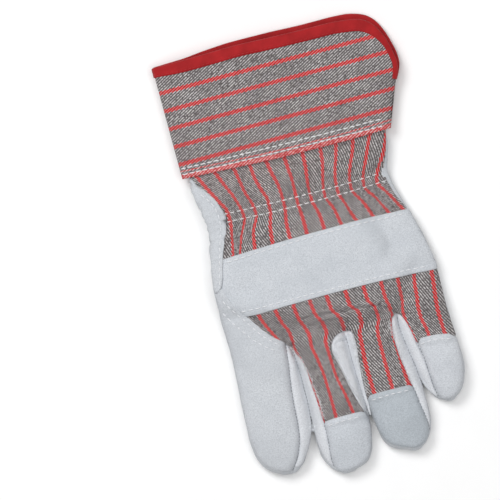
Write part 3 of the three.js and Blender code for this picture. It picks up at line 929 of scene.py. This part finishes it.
def strip_folds(flat, depth):
    """Puckers along the edge near the elastic, a sewn line inside it, and uneven swelling."""
    drift = soft_noise(flat, 6, 6, 1.1)
    near = hump(flat[:, 1] - 25, 14)
    ripple = near * 0.45 * np.sin(2 * np.pi * (flat[:, 1] + 2.5 * drift) / 5.2) * np.exp(-depth / 4)
    sewn = -0.5 * hump(depth - 3.4, 1.0)
    return 0.55 * drift + ripple + sewn + 0.35 * np.exp(-depth / 1.6)


strap_tree = tree_of(skin, back, strap)
strip, _ = sewn_sheet(
    "palm_edge_strip", STRIP_OUTLINE, strap_tree, rise=1.2, thickness=1.5, material=suede_plain,
    pitch=1.3, lip=0.5, shape=strip_folds, sink=0.25,
)
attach(strip, "root")

# Back of the index finger: the only finger that is leather all round.
# It overlaps the end of the strap and the canvas, and two rows of stitches follow that edge.
INDEX_OUTLINE = [
    (-57.6, -13.6), (-55.6, -14.0), (-52.2, -12.6), (-51.2, -14.0), (-49.6, -20.6), (-46.8, -27.4),
    (-44.4, -31), (-41.9, -33.2), (-38.3, -38.5), (-34.2, -44.5), (-29.8, -49.3), (-26, -52.2),
    (-23.6, -54.4), (-24.6, -64.6), (-26.6, -76), (-28.2, -90), (-29.2, -106), (-30.8, -114),
    (-34.6, -123), (-39.6, -129.6), (-44, -129), (-50, -126.4), (-55.6, -121), (-58.3, -113),
    (-59.2, -104), (-58.9, -92), (-58, -78), (-57, -62), (-56.6, -48), (-57, -34), (-57.3, -22),
]
upper_tree = tree_of(skin, back, strap, strip)


def index_folds(flat, depth):
    """Soft waves that leave the edge flat."""
    soft = 0.6 * soft_noise(flat, 17, 26, 4.2)
    return soft * np.clip(depth / 6, 0, 1) + 0.5 * hollows(flat)


index_back, _ = sewn_sheet(
    "index_back_leather", INDEX_OUTLINE, upper_tree, rise=0.9, thickness=1.3, material=suede_plain,
    pitch=1.5, lip=0.9, shape=index_folds, sink=0.9,
)
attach(index_back, "root")
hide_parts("index_back")

# Side walls between the fingers, a folded strip of leather in each crotch.
# Each runs up one finger, round the crotch and down the next, with a seam along the fold.
GUSSETS = {
    "index_gusset": [
        (-24.4, -55.4), (-24.8, -64.6), (-26.7, -76), (-28.2, -90), (-29.2, -106), (-30.8, -115),
        (-34.4, -123.0), (-38.5, -128), (-33.5, -128), (-27.5, -121), (-23.6, -113), (-21.2, -106),
        (-20.2, -92), (-20.2, -76), (-20.6, -64), (-22.2, -57.4),
    ],
    "middle_outer_gusset": [
        (-20.2, -60.6), (-16.6, -67.2), (-14.9, -74), (-14.8, -84), (-13.8, -95), (-13.4, -106),
        (-13.8, -117), (-15.0, -128), (-14.8, -134), (-18.4, -129), (-20.7, -121), (-20.6, -110),
        (-19.8, -98), (-19.6, -82), (-19.6, -70),
    ],
    "middle_inner_gusset": [
        (2.1, -66), (2.3, -63.0), (4.4, -59.8), (8.0, -57.5), (11.6, -57.0), (12.2, -60), (12.2, -67),
        (12.0, -77), (12.4, -90), (13.2, -104), (12.4, -107), (11.2, -105.6), (8.9, -99.1),
        (6.9, -90.4), (5.2, -80.7), (3.6, -73.2),
    ],
    "ring_outer_gusset": [
        (11.6, -57.0), (13.8, -56.9), (15.7, -57.6), (16.8, -60.4), (16.8, -67), (15.9, -76.6), (15.1, -86),
        (14.8, -98), (15.2, -108), (14.2, -110.4), (13.4, -104), (12.6, -90), (12.2, -77), (12.3, -67),
        (12.2, -60),
    ],
    "ring_inner_gusset": [
        (42.0, -56.2), (43.4, -54.6), (45.0, -54.4), (44.9, -57), (44.4, -63), (46.0, -76), (47.8, -88),
        (49.0, -100), (49.0, -110), (48.2, -121), (46.4, -126), (46.0, -120), (44.6, -112),
        (43.4, -103), (42.4, -96), (41.4, -88), (40.1, -79), (39.8, -70), (40.6, -61),
    ],
    "little_gusset": [
        (45.2, -54.4), (46.6, -55.2), (47.7, -57.2), (49.5, -62), (50.9, -68.5), (52.2, -76), (54.1, -84),
        (54.8, -94), (55.1, -102), (56.4, -110.0), (53.6, -107), (50.6, -102), (49.4, -98), (48.0, -88),
        (46.2, -76), (44.6, -63), (45.0, -57),
    ],
}

# The gussets that stand in for one of the solids, and that solid
GUSSET_SOLIDS = {
    "index_gusset": "index_gusset",
    "middle_inner_gusset": "ring_gusset",
    "little_gusset": "little_gusset",
}
VALLEY_FLOOR = 9.5
CROTCH_TUCK = [(5.4, -62.8), (8.6, -61.6), (11.4, -62.6), (14.4, -60.6)]


def gusset_folds(flat, depth):
    """Small crumples, and the tuck in the crotch between middle and ring finger."""
    from_tuck = edge_distance(np.array(CROTCH_TUCK), flat, closed=False)
    return 0.35 * soft_noise(flat, 9, 9, 2.9) - 0.8 * hump(from_tuck, 0.7) + 0.5 * hump(from_tuck - 1.9, 1.1)


# The side walls get a lighter copy of the suede than the rest: painted light that lifts the shade on their
# steep sides.
suede_gusset_painted_light = suede("gusset_suede_painted_light", (0.76, 0.782, 0.815, 1), (0.68, 0.70, 0.735, 1))
gusset_pieces = []
for name, outline in GUSSETS.items():
    piece, _ = sewn_sheet(
        name + "_leather", outline, skin_tree, rise=0.55, thickness=1.0, material=suede_gusset_painted_light,
        pitch=1.1, lip=0.7, shape=gusset_folds, sink=1.1, least=VALLEY_FLOOR,
    )
    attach(piece, "root")
    if name in GUSSET_SOLIDS:
        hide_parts(GUSSET_SOLIDS[name])
    gusset_pieces.append(piece)

# Fingertip caps: a short piece of leather over the end of each canvas finger back.
# The straight edge lies on top of the canvas with a row of stitches just inside it.
CAPS = {
    "middle_tip": [
        (-14.2, -106.0), (-8, -105.4), (2, -105.3), (11.2, -105.6), (12.6, -110), (12.6, -117),
        (10.8, -125.4), (8, -131.6), (4.4, -135.4), (-2, -137.6), (-8.6, -138), (-13, -136.6),
        (-15, -132), (-14.7, -122), (-13.9, -112),
    ],
    "ring_tip": [
        (15.2, -97.8), (22, -97.3), (34, -97.5), (43.0, -97.7), (44.4, -104), (45.2, -112),
        (46.6, -120), (46.6, -126), (43.8, -131.4), (40, -134.4), (35.6, -135.4), (28, -132.4),
        (21.2, -129), (17.8, -123.4), (16.3, -115), (15.3, -105),
    ],
    "little_tip": [
        (52.3, -72.6), (62.6, -72.2), (75.4, -74.8), (76, -84), (75.6, -94), (74, -101.6), (71, -107.4),
        (67, -111), (62, -112.2), (57.6, -110.6), (55.6, -104), (54.9, -94), (54.2, -84),
    ],
}
# Each cap has its own tone of the suede, matched to how bright it shows under the lamps: the ring tip's
# darker tone is painted shade and the little tip's lighter tone is painted light.
CAP_SUEDES_PAINTED_LIGHT_AND_SHADE = {
    "middle_tip": suede("middle_tip_suede", (0.645, 0.673, 0.715, 1), (0.56, 0.59, 0.63, 1)),
    "ring_tip": suede("ring_tip_suede_painted_shade", (0.53, 0.57, 0.61, 1), (0.45, 0.49, 0.53, 1)),
    "little_tip": suede("little_tip_suede_painted_light", (0.69, 0.715, 0.75, 1), (0.60, 0.625, 0.665, 1)),
}


def cap_folds(flat, depth):
    """Soft waves that leave the edge flat."""
    soft = 0.5 * soft_noise(flat, 12, 12, 6.4)
    return soft * np.clip(depth / 5, 0, 1) + 0.5 * hollows(flat)


cap_pieces = []
for name, outline in CAPS.items():
    piece, _ = sewn_sheet(
        name + "_leather", outline, canvas_tree, rise=0.9, thickness=1.3, material=CAP_SUEDES_PAINTED_LIGHT_AND_SHADE[name],
        pitch=1.4, lip=0.7, shape=cap_folds, sink=0.8, least=4.0,
    )
    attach(piece, "root")
    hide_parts(name)
    cap_pieces.append(piece)

# Cuff: striped canvas, starched and backed so that it stands stiff, sewn over the wrist end.
# It is one length of cloth folded at the thumb side and joined on the little finger side, where it
# is left open above the slit with both corners rounded. The stripes run round the wrist.
CUFF_BASE = 2.0
CUFF_WALL = 1.6
CUFF_LEFT = -58.0
CUFF_RIGHT = 70.6
CUFF_MIDDLE = 13.0
CUFF_HALF = 70
HEM_LINE = [(-58.2, 56.3), (-30, 54.9), (5, 53.4), (40, 53.1), (70.6, 53.7)]
SLIT = (81.0, 81.2)
CUFF_STRIPE_START = 65.1
CUFF_STRIPE_PITCH = 11.05
COLUMNS = 150
CUFF_ROWS = 60
RIM_POINTS = 400
SIDE_CLOSENESS = 0.35

# Each row: y, left edge, right edge and height of the cuff
CUFF_EDGES = [
    (53, -58.0, 70.6, 17.2),
    (66, -57.9, 74.2, 17.0),
    (81, -57.9, 81.2, 16.4),
    (92, -57.9, 86.2, 15.8),
    (106, -58.0, 89.5, 15.2),
    (131, -58.2, 92.0, 14.6),
]

# Rim from the fold on the thumb side round the corner to the slit: x, y of the back layer, and
# how far the palm layer stands out beyond it
RIM = [
    (-58.2, 124.0, 0, 0.2),
    (-50, 123.8, 0, 0.7),
    (-40, 123.8, 0, 1.0),
    (-25, 124.0, 0, 2.2),
    (-8, 124.3, 0, 2.8),
    (12, 123.6, 0, 3.3),
    (38, 122.9, 0, 3.2),
    (50, 122.8, 0, 3.3),
    (61, 121.8, 0, 3.8),
    (68, 120.5, 0.5, 3.4),
    (72, 118.6, 1.1, 3.2),
    (76, 114.8, 1.4, 2.8),
    (79.2, 109.2, 1.5, 2.0),
    (81.8, 101.4, 1.7, 0.9),
    (83.1, 95.0, 1.8, 0.3),
    (83.6, 91.0, 1.5, 0),
    (83.2, 87.6, 1.1, 0),
    (82.2, 84.2, 0.5, 0),
    (*SLIT, 0, 0),
]


def rim_line(share):
    """Upper edge of one layer of the cuff, as close even points on a smooth line."""
    x = [row[0] + share * row[2] for row in RIM]
    y = [row[1] + share * row[3] for row in RIM]
    run = run_of(np.column_stack([x, y]))
    at = np.linspace(0, run[-1], RIM_POINTS)
    return np.stack([through(run, x, at), through(run, y, at)], axis=1)


def at_shares(line, shares):
    """Plan points at the given shares of a line's length."""
    return along_line(line, shares * run_of(line)[-1])


def cuff_height(x, y, upper, grow):
    """Height of the cuff over plan points, on its back or its palm layer."""
    ys = [row[0] for row in CUFF_EDGES]
    left = through(ys, [row[1] for row in CUFF_EDGES], y)
    right = through(ys, [row[2] for row in CUFF_EDGES], y)
    height = through(ys, [row[3] for row in CUFF_EDGES], y)
    seam = CUFF_BASE + SEAM_SHARE * height
    side = (x - (left + right) / 2) / ((right - left) / 2)
    wave = soft_noise(zip(x, y), 34, 30, 5.5 + upper)
    wave = wave * np.clip((y - 60) / 20, 0, 1) * np.clip((1 - np.abs(side)) * 6, 0, 1)
    if upper:
        return seam + (CUFF_BASE + height + grow - seam) * bulge(side, TOP_POWER) + 0.7 * wave
    return seam - (seam - CUFF_BASE + grow) * bulge(side, BOTTOM_POWER) + 0.25 * wave


def hem_height(x):
    """Where the hem lies along Y, at each place across the cuff."""
    return through([p[0] for p in HEM_LINE], [p[1] for p in HEM_LINE], x)


def cuff_plan():
    """Plan places of the back and the palm layer, in rows from the hem to the rim."""
    even = np.linspace(0, 1, COLUMNS)
    shares = smooth(even) * SIDE_CLOSENESS + even * (1 - SIDE_CLOSENESS)
    hem_x = CUFF_LEFT + (CUFF_RIGHT - CUFF_LEFT) * shares
    hem = np.stack([hem_x, hem_height(hem_x)], axis=1)
    layers = []
    for share in (0.0, 1.0):
        rim = at_shares(rim_line(share), shares)
        t = np.linspace(0, 1, CUFF_ROWS)[:, None, None]
        layers.append(hem[None] * (1 - t) + rim[None] * t)
    return layers


def cuff_surface(layers, grow, side_grow):
    """Ring points of the cuff's outer surface, or of one set in from it by a growth below zero."""
    rings = []
    for row_back, row_palm in zip(*layers):
        halves = []
        for row, upper in ((row_back, True), (row_palm[::-1][1:-1], False)):
            x = row[:, 0]
            y = row[:, 1]
            z = cuff_height(x, y, upper, grow)
            edge = np.clip(np.abs(x - CUFF_MIDDLE) / CUFF_HALF, 0, 1) ** 8
            halves.append(np.stack([x + np.sign(x - CUFF_MIDDLE) * side_grow * edge, y, z], axis=1))
        rings.append(np.vstack(halves))
    return rings


cuff_layers = cuff_plan()
outer = cuff_surface(cuff_layers, 0.0, 0.0)
inner = cuff_surface(cuff_layers, -CUFF_WALL, -CUFF_WALL)
ring_count = len(outer[0])
cuff_points = np.vstack(outer + inner[::-1])
faces = []
total = 2 * CUFF_ROWS
for k in range(total):
    for i in range(ring_count):
        j = (i + 1) % ring_count
        below = k * ring_count
        above = ((k + 1) % total) * ring_count
        faces.append((below + i, below + j, above + j, above + i))
cuff = add_mesh("canvas_cuff", cuff_points, faces, twill("striped_twill_cuff", selvage=True))
hem_y = hem_height(np.clip(cuff_points[:, 0], CUFF_LEFT, CUFF_RIGHT))
stripe_number = (cuff_points[:, 1] - CUFF_STRIPE_START) / CUFF_STRIPE_PITCH
map_cloth(cuff, "stripes", np.stack([stripe_number, -cuff_points[:, 0]], axis=1))
map_cloth(cuff, "hem", np.stack([cuff_points[:, 1] - hem_y, cuff_points[:, 0]], axis=1))
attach(cuff, "root")
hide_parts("cuff")

# Binding: red bias tape folded over the raw rim of the cuff and stitched through both sides.
# It starts and ends at the slit, so it goes once round the whole mouth.
TAPE_WIDTH = 6.0
TAPE_RISE = 0.7
TAPE_FOLD = 1.3
TAPE_THICKNESS = 0.6
TAPE_DOWN = 7
TAPE_ROUND = 9
TAPE_SHARES = 190
TAPE_EDGE = 0.75
TAPE_NARROW = 18.0
TAPE_TAPER = 26.0
TAPE_END = 0.38
FOLD_REACH = 12
FOLD_LOSS = 0.2
PROBE = 0.4
PUCKER = 0.18
TAPE_DARK = (0.29, 0.007, 0.009, 1)
TAPE_RED = (0.41, 0.012, 0.015, 1)


def bias_tape():
    """Finely woven red tape with a slightly uneven dye."""
    material, tree, shader = principled("red_bias_tape", roughness=0.75, sheen=0.05, specular=0.2)
    weave = grain(tree, scale=1400, detail=2, roughness=0.6)
    tone = grain(tree, scale=110, detail=3, roughness=0.55)
    dyed = blend_colours(tree, stretched(tree, tone, 0.3, 0.7), TAPE_DARK, TAPE_RED)
    tree.links.new(dyed, shader.inputs["Base Color"])
    woven = raised(tree, weave, strength=0.35, distance=0.0003)
    tree.links.new(woven, shader.inputs["Normal"])
    return material


def tape_section():
    """Across the tape, out over its outer face and back along its inner one.

    Each row is the distance down from the rim, the side of the wall from 1 to -1, the rise off the
    wall and the reach of the fold beyond the rim.
    """
    down = np.linspace(TAPE_WIDTH, 0.0, TAPE_DOWN)
    path = [(d, 1.0) for d in down]
    path += [(-math.sin(t), math.cos(t)) for t in np.linspace(0, math.pi, TAPE_ROUND)[1:-1]]
    path += [(d, -1.0) for d in down[::-1]]
    rises = [TAPE_RISE * (TAPE_EDGE if d == TAPE_WIDTH else 1.0) for d, _ in path]
    outer_face = [(d, side, rise, TAPE_FOLD) for (d, side), rise in zip(path, rises)]
    inner_face = [(d, side, TAPE_RISE - TAPE_THICKNESS, TAPE_FOLD - TAPE_THICKNESS) for d, side in path]
    return outer_face + inner_face[::-1]


def tape_run():
    """Plan points of the rim from the slit to the fold and back, and which are on the back layer."""
    shares = np.linspace(0, 1, TAPE_SHARES)
    back_rim = at_shares(rim_line(0.0), shares)[::-1]
    palm_rim = at_shares(rim_line(1.0), shares)[1:]
    return np.vstack([back_rim, palm_rim]), np.array([True] * len(back_rim) + [False] * len(palm_rim))


def tape_surface(depth):
    """Outside of the cuff along the whole tape, at one distance in from the rim."""
    places = tape_plan + tape_inward * depth[:, None]
    z = np.where(
        tape_upper,
        cuff_height(places[:, 0], places[:, 1], True, 0.0),
        cuff_height(places[:, 0], places[:, 1], False, 0.0),
    )
    return np.column_stack([places, z])


def unit(vectors):
    """Each row at length 1."""
    return vectors / np.maximum(np.linalg.norm(vectors, axis=1), 1e-9)[:, None]


tape_plan, tape_upper = tape_run()
along = unit(np.gradient(tape_plan, axis=0))
turn = np.where(tape_upper, 1.0, -1.0)
tape_inward = np.stack([-along[:, 1] * turn, along[:, 0] * turn], axis=1)
from_fold = tape_plan[:, 0] - RIM[0][0]
past_fold = smooth(from_fold / FOLD_REACH)[:, None]
tape_inward = unit(tape_inward * past_fold + np.array([0.0, -1.0]) * (1 - past_fold))
run = run_of(tape_plan)
from_slit = np.minimum(run, run[-1] - run)
taper = TAPE_END + (1 - TAPE_END) * smooth((from_slit - TAPE_NARROW) / TAPE_TAPER)
taper *= 1 - FOLD_LOSS * hump(from_fold, FOLD_REACH)
tape_points = []
for depth, side, rise, fold in tape_section():
    deep = max(depth, 0.0) * taper
    place = tape_surface(deep)
    ahead = unit(np.gradient(place, axis=0))
    inward = unit(tape_surface(deep + PROBE) - tape_surface(np.maximum(deep - PROBE, -PROBE)))
    outward = unit(np.cross(ahead, inward))
    middle = place - outward * CUFF_WALL / 2
    puckers = 1 + PUCKER * np.array([noise.noise(Vector((r / 2.1, depth / 3, side))) for r in run])
    ring = middle + outward * ((CUFF_WALL / 2 + rise * puckers) * side)[:, None]
    if depth < 0:
        ring = ring + inward * (fold * depth)
    tape_points.append(ring)
tape_points = np.stack(tape_points)
section_count, run_count = tape_points.shape[:2]
faces = []
for i in range(run_count - 1):
    for k in range(section_count):
        m = (k + 1) % section_count
        faces.append((i * section_count + k, i * section_count + m,
                      (i + 1) * section_count + m, (i + 1) * section_count + k))
faces.append(tuple(range(section_count))[::-1])
faces.append(tuple((run_count - 1) * section_count + k for k in range(section_count)))
binding = add_mesh("rim_binding", tape_points.transpose(1, 0, 2).reshape(-1, 3), faces, bias_tape())
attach(binding, "root")
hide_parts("binding")

# Pulse patch: the palm leather runs on over the palm side of the cuff as a rounded tab.
# It is a single layer of the same split leather, cut round and left raw at its edge.
PATCH_PITCH = 2.0
PATCH_LIP = 0.6
PATCH_GAP = 0.1
PATCH_UNDERSIDE = 1.6
PATCH_LOWEST = 0.05
PATCH_OUTLINE = [
    (-11.4, 52), (-12.6, 62), (-16.6, 73), (-17.4, 81), (-15.5, 87.4), (-11, 91.8), (-3, 94.4), (14, 95.2),
    (31, 94.4), (39, 91.8), (43.5, 87.4), (45.4, 81), (44.6, 73), (40.6, 62), (39.4, 52),
]
flat, faces, _ = cut_cloth(PATCH_OUTLINE, PATCH_PITCH, PATCH_LIP)
under = cuff_height(flat[:, 0], np.maximum(flat[:, 1], CUFF_EDGES[0][0]), False, 0.0)
top = np.column_stack([flat, under - PATCH_GAP])
bottom = np.column_stack([flat, np.maximum(under - PATCH_UNDERSIDE, PATCH_LOWEST)])
patch = add_mesh("pulse_patch_leather", np.vstack([top, bottom]), closed_shell(faces, len(flat)), suede_plain)
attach(patch, "root")
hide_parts("pulse_patch")

# Stitches: white polyester thread, each one a short raised length between two needle holes.
# The finger seams are closed with a grey thread, and the tape is held with a red one.
THREAD_RADIUS = 0.34
THREAD_SIDES = 6
THREAD_STEP = 0.25
STITCH_ARCH = 0.9
STITCH_SUNK = 0.15
STITCH_END = 0.55


def twisted_thread(name, dark, light):
    """Thread whose plies show as a fine change from dark to light."""
    material, tree, shader = principled(name, roughness=0.6, specular=0.3)
    ply = grain(tree, scale=1800, detail=2, roughness=0.6)
    tree.links.new(blend_colours(tree, ply, dark, light), shader.inputs["Base Color"])
    tree.links.new(raised(tree, ply, strength=0.3, distance=0.0002), shader.inputs["Normal"])
    return material


white_thread = twisted_thread("white_thread", (0.70, 0.71, 0.73, 1), (0.86, 0.87, 0.89, 1))
grey_thread = twisted_thread("grey_thread", (0.17, 0.185, 0.20, 1), (0.33, 0.35, 0.375, 1))
red_thread = twisted_thread("red_thread", (0.30, 0.01, 0.012, 1), (0.50, 0.025, 0.03, 1))


def stitch_rows(name, lines, tree, length, space, radius=THREAD_RADIUS, material=white_thread):
    """Rows of stitches along plan lines, lying on the surface beneath them."""
    points = []
    faces = []
    ring_shape = [(math.cos(2 * math.pi * k / THREAD_SIDES), math.sin(2 * math.pi * k / THREAD_SIDES))
                  for k in range(THREAD_SIDES)]
    for line in lines:
        run = resample(line, THREAD_STEP, closed=False)
        step = max(1, int(round((length + space) / THREAD_STEP)))
        span = int(round(length / THREAD_STEP))
        for start in range(0, len(run) - span, step):
            path = run[start:start + span + 1:max(1, span // 4)]
            spine = []
            for k, (x, y) in enumerate(path):
                place, facing = on_top(tree, x, y)
                arch = math.sin(math.pi * k / (len(path) - 1))
                spine.append(place + facing * (radius * (STITCH_ARCH * arch - STITCH_SUNK)))
            for k, centre in enumerate(spine):
                ahead = spine[min(k + 1, len(spine) - 1)] - spine[max(k - 1, 0)]
                ahead.normalize()
                side = ahead.cross(Vector((0, 0, 1))).normalized()
                up = side.cross(ahead)
                size = radius * (STITCH_END if k in (0, len(spine) - 1) else 1.0)
                points += [tuple(centre + (side * c + up * s) * size) for c, s in ring_shape]
            first = len(points) - len(spine) * THREAD_SIDES
            faces += ring_faces(len(spine), THREAD_SIDES, first)
    thread = add_mesh(name, points, faces, material)
    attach(thread, "root")


stitch_rows("hem_stitches", [
    [(-57.2, 62.4), (-30, 61.6), (10, 60.8), (45, 60.4), (69, 60.3)],
    [(-56.9, 58.8), (-30, 57.8), (12, 56.9), (45, 56.3), (69.5, 56.0)],
], tree_of(cuff), length=3.6, space=0.5, radius=0.36)
leather_tree = tree_of(skin, back, strip, index_back, *gusset_pieces, *cap_pieces)
stitch_rows("seam_stitches", SEAMS.values(), leather_tree, length=1.3, space=0.6, radius=0.2,
            material=grey_thread)
tape_seam = (tape_plan + tape_inward * (TAPE_WIDTH * 0.8 * taper)[:, None])[tape_upper]
stitch_rows("tape_stitches", [tape_seam], tree_of(binding), length=1.8, space=0.9, radius=0.22,
            material=red_thread)
stitch_rows("gather_stitches", [
    [(-39.5, 29.6), (-20, 28.9), (0, 28.4), (20, 28.2), (40, 28.4), (58.5, 29.4)],
    [(-39.0, 24.6), (-20, 23.8), (0, 23.2), (20, 23.0), (40, 23.2), (59.5, 24.0)],
], tree_of(back), length=2.6, space=1.5, radius=0.3)
stitch_rows("strap_stitches", [
    [(-45, 1.2), (-24.3, 2.2), (8, 3.0), (40, 3.0), (65.5, 2.0)],
    [(-44.4, -29.6), (-33, -30), (-1, -30), (30, -30.4), (57, -31), (73, -32)],
], tree_of(strap), length=3.0, space=1.2)
stitch_rows("strip_stitches", [
    [(-49.6, 44.4), (-45.9, 39.6), (-43.4, 34.6), (-42.6, 29), (-43, 23), (-45.4, 15.4), (-48.4, 6),
     (-51.2, -4), (-52.8, -11)],
], tree_of(strip), length=2.4, space=1.6, radius=0.26)
stitch_rows("index_stitches", [
    [(-53.6, -20.6), (-51.2, -24.4), (-47.6, -30), (-44.4, -34.4), (-40.6, -40), (-36.4, -46.2),
     (-31.6, -51.2), (-27.2, -54.8)],
    [(-55.2, -27.6), (-51.4, -34.4), (-46.6, -41.2), (-41.6, -48), (-36.4, -53.2), (-29.6, -58)],
], tree_of(index_back), length=2.6, space=1.3, radius=0.3)
stitch_rows("cap_stitches", [
    [(-11.6, -108.8), (0, -108.2), (10.6, -108.6)],
    [(17.4, -100.8), (30, -100.3), (42.6, -100.7)],
    [(54.4, -75.8), (63, -75.4), (74.2, -77.8)],
], tree_of(*cap_pieces), length=2.6, space=1.3, radius=0.3)

# Frayed yarn ends along the raw side edges of the canvas, where it meets the side walls.
# They are loose tufts of white cotton, about a third of a millimetre thick at the root.
FRAYED_EDGES = [
    [(-20.6, -58.5), (-18.0, -63), (-15.6, -71), (-14.4, -79), (-13.4, -90), (-13.4, -104)],
    [(2.5, -64.7), (4.3, -74.5), (5.8, -82.9), (8.5, -93.6), (11.2, -103.2)],
    [(16.9, -59.8), (16.1, -69.5), (16.0, -79.4), (16.1, -88.2), (15.8, -96)],
    [(38.9, -58), (39.5, -65.9), (40.0, -73.4), (41.2, -85), (42.3, -96)],
]
FIBRE_RADIUS = 0.15
FIBRE_GAP = 0.3
FIBRE_REACH = (0.8, 2.4)
FIBRE_SEED = 7


def fringe(name, lines, tree):
    """Short bent fibres that stand out across each line."""
    chance = np.random.default_rng(FIBRE_SEED)
    points = []
    faces = []
    for line in lines:
        run = resample(line, FIBRE_GAP, closed=False)
        for (x, y), (next_x, next_y) in zip(run, run[1:]):
            heading = math.atan2(next_y - y, next_x - x) + math.pi / 2 + chance.normal(0, 0.7)
            heading += math.pi * chance.integers(0, 2)
            reach = chance.uniform(*FIBRE_REACH)
            place, facing = on_top(tree, x, y)
            spread = Vector((math.cos(heading), math.sin(heading), chance.uniform(0, 0.35)))
            bend = Vector((-spread.y, spread.x, 0)) * chance.normal(0, 0.2)
            first = len(points)
            for share in (0.0, 0.5, 1.0):
                centre = place + facing * 0.1 + (spread * share + bend * share ** 2) * reach
                size = FIBRE_RADIUS * (1.2 - share)
                points += [tuple(centre + Vector(offset) * size)
                           for offset in ((spread.y, -spread.x, 0), (-spread.y, spread.x, 0), (0, 0, 1))]
            faces += ring_faces(3, 3, first)
    fibres = add_mesh(name, points, faces, white_thread)
    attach(fibres, "root")


fringe("frayed_edges", FRAYED_EDGES, leather_tree)

# Ground, light and camera: the glove lies on a pale table and is seen from straight above.
# One lamp stands beyond the cuff, a wide one hangs overhead, and the room is evenly white.
PHOTO_WIDTH = 300.0
VIEW_CENTRE = (-29.8, 4.9)
VIEW_TURN = math.radians(-15)
CAMERA_HEIGHT = 6.0
SENSOR = 36.0
ROOM_LIGHT = 0.31
TABLE_REACH = 3.0
TABLE_DROP = 0.0004
TABLE_SHADE = (0.93, 0.93, 0.93, 1)
TABLE_LIGHT = (0.96, 0.96, 0.96, 1)


def matt_table():
    """Pale, almost even surface without a shine."""
    material, tree, shader = principled("pale_table", roughness=0.9, specular=0.1)
    even = blend_colours(tree, grain(tree, scale=40, detail=3), TABLE_SHADE, TABLE_LIGHT)
    tree.links.new(even, shader.inputs["Base Color"])
    return material


table_mesh = bpy.data.meshes.new("table_top")
corners = [(x * TABLE_REACH, y * TABLE_REACH, 0) for x, y in ((-1, -1), (1, -1), (1, 1), (-1, 1))]
table_mesh.from_pydata(corners, [], [(0, 1, 2, 3)])
table_mesh.materials.append(matt_table())
table_top = bpy.data.objects.new("table_top", table_mesh)
table_top.location.z = -TABLE_DROP
bpy.context.scene.collection.objects.link(table_top)


def soft_light(name, place, size, power):
    """A round lamp that faces the middle of the table."""
    light = bpy.data.lights.new(name, "AREA")
    light.shape = "DISK"
    light.size = size
    light.energy = power
    lamp = bpy.data.objects.new(name, light)
    lamp.location = place
    lamp.rotation_euler = (-Vector(place)).to_track_quat("-Z", "Y").to_euler()
    bpy.context.scene.collection.objects.link(lamp)


soft_light("key_light", (-0.5, 0.8, 1.6), size=0.8, power=16)
soft_light("overhead_light", (0.2, -0.1, 2.4), size=1.8, power=26)
world = bpy.data.worlds.new("soft_room")
world.use_nodes = True
background = world.node_tree.nodes["Background"]
background.inputs["Color"].default_value = (1, 1, 1, 1)
background.inputs["Strength"].default_value = ROOM_LIGHT
bpy.context.scene.world = world
bpy.context.scene.view_settings.view_transform = "Standard"

camera_data = bpy.data.cameras.new("camera")
camera_data.sensor_width = SENSOR
camera_data.lens = SENSOR * CAMERA_HEIGHT / (PHOTO_WIDTH * MM)
camera_data.clip_end = 20
camera = bpy.data.objects.new("camera", camera_data)
aim = (np.array([*VIEW_CENTRE, 0.0]) + SHIFT) * MM
camera.location = (aim[0], aim[1], CAMERA_HEIGHT)
camera.rotation_euler = (0, 0, VIEW_TURN)
bpy.context.scene.collection.objects.link(camera)
bpy.context.scene.camera = camera
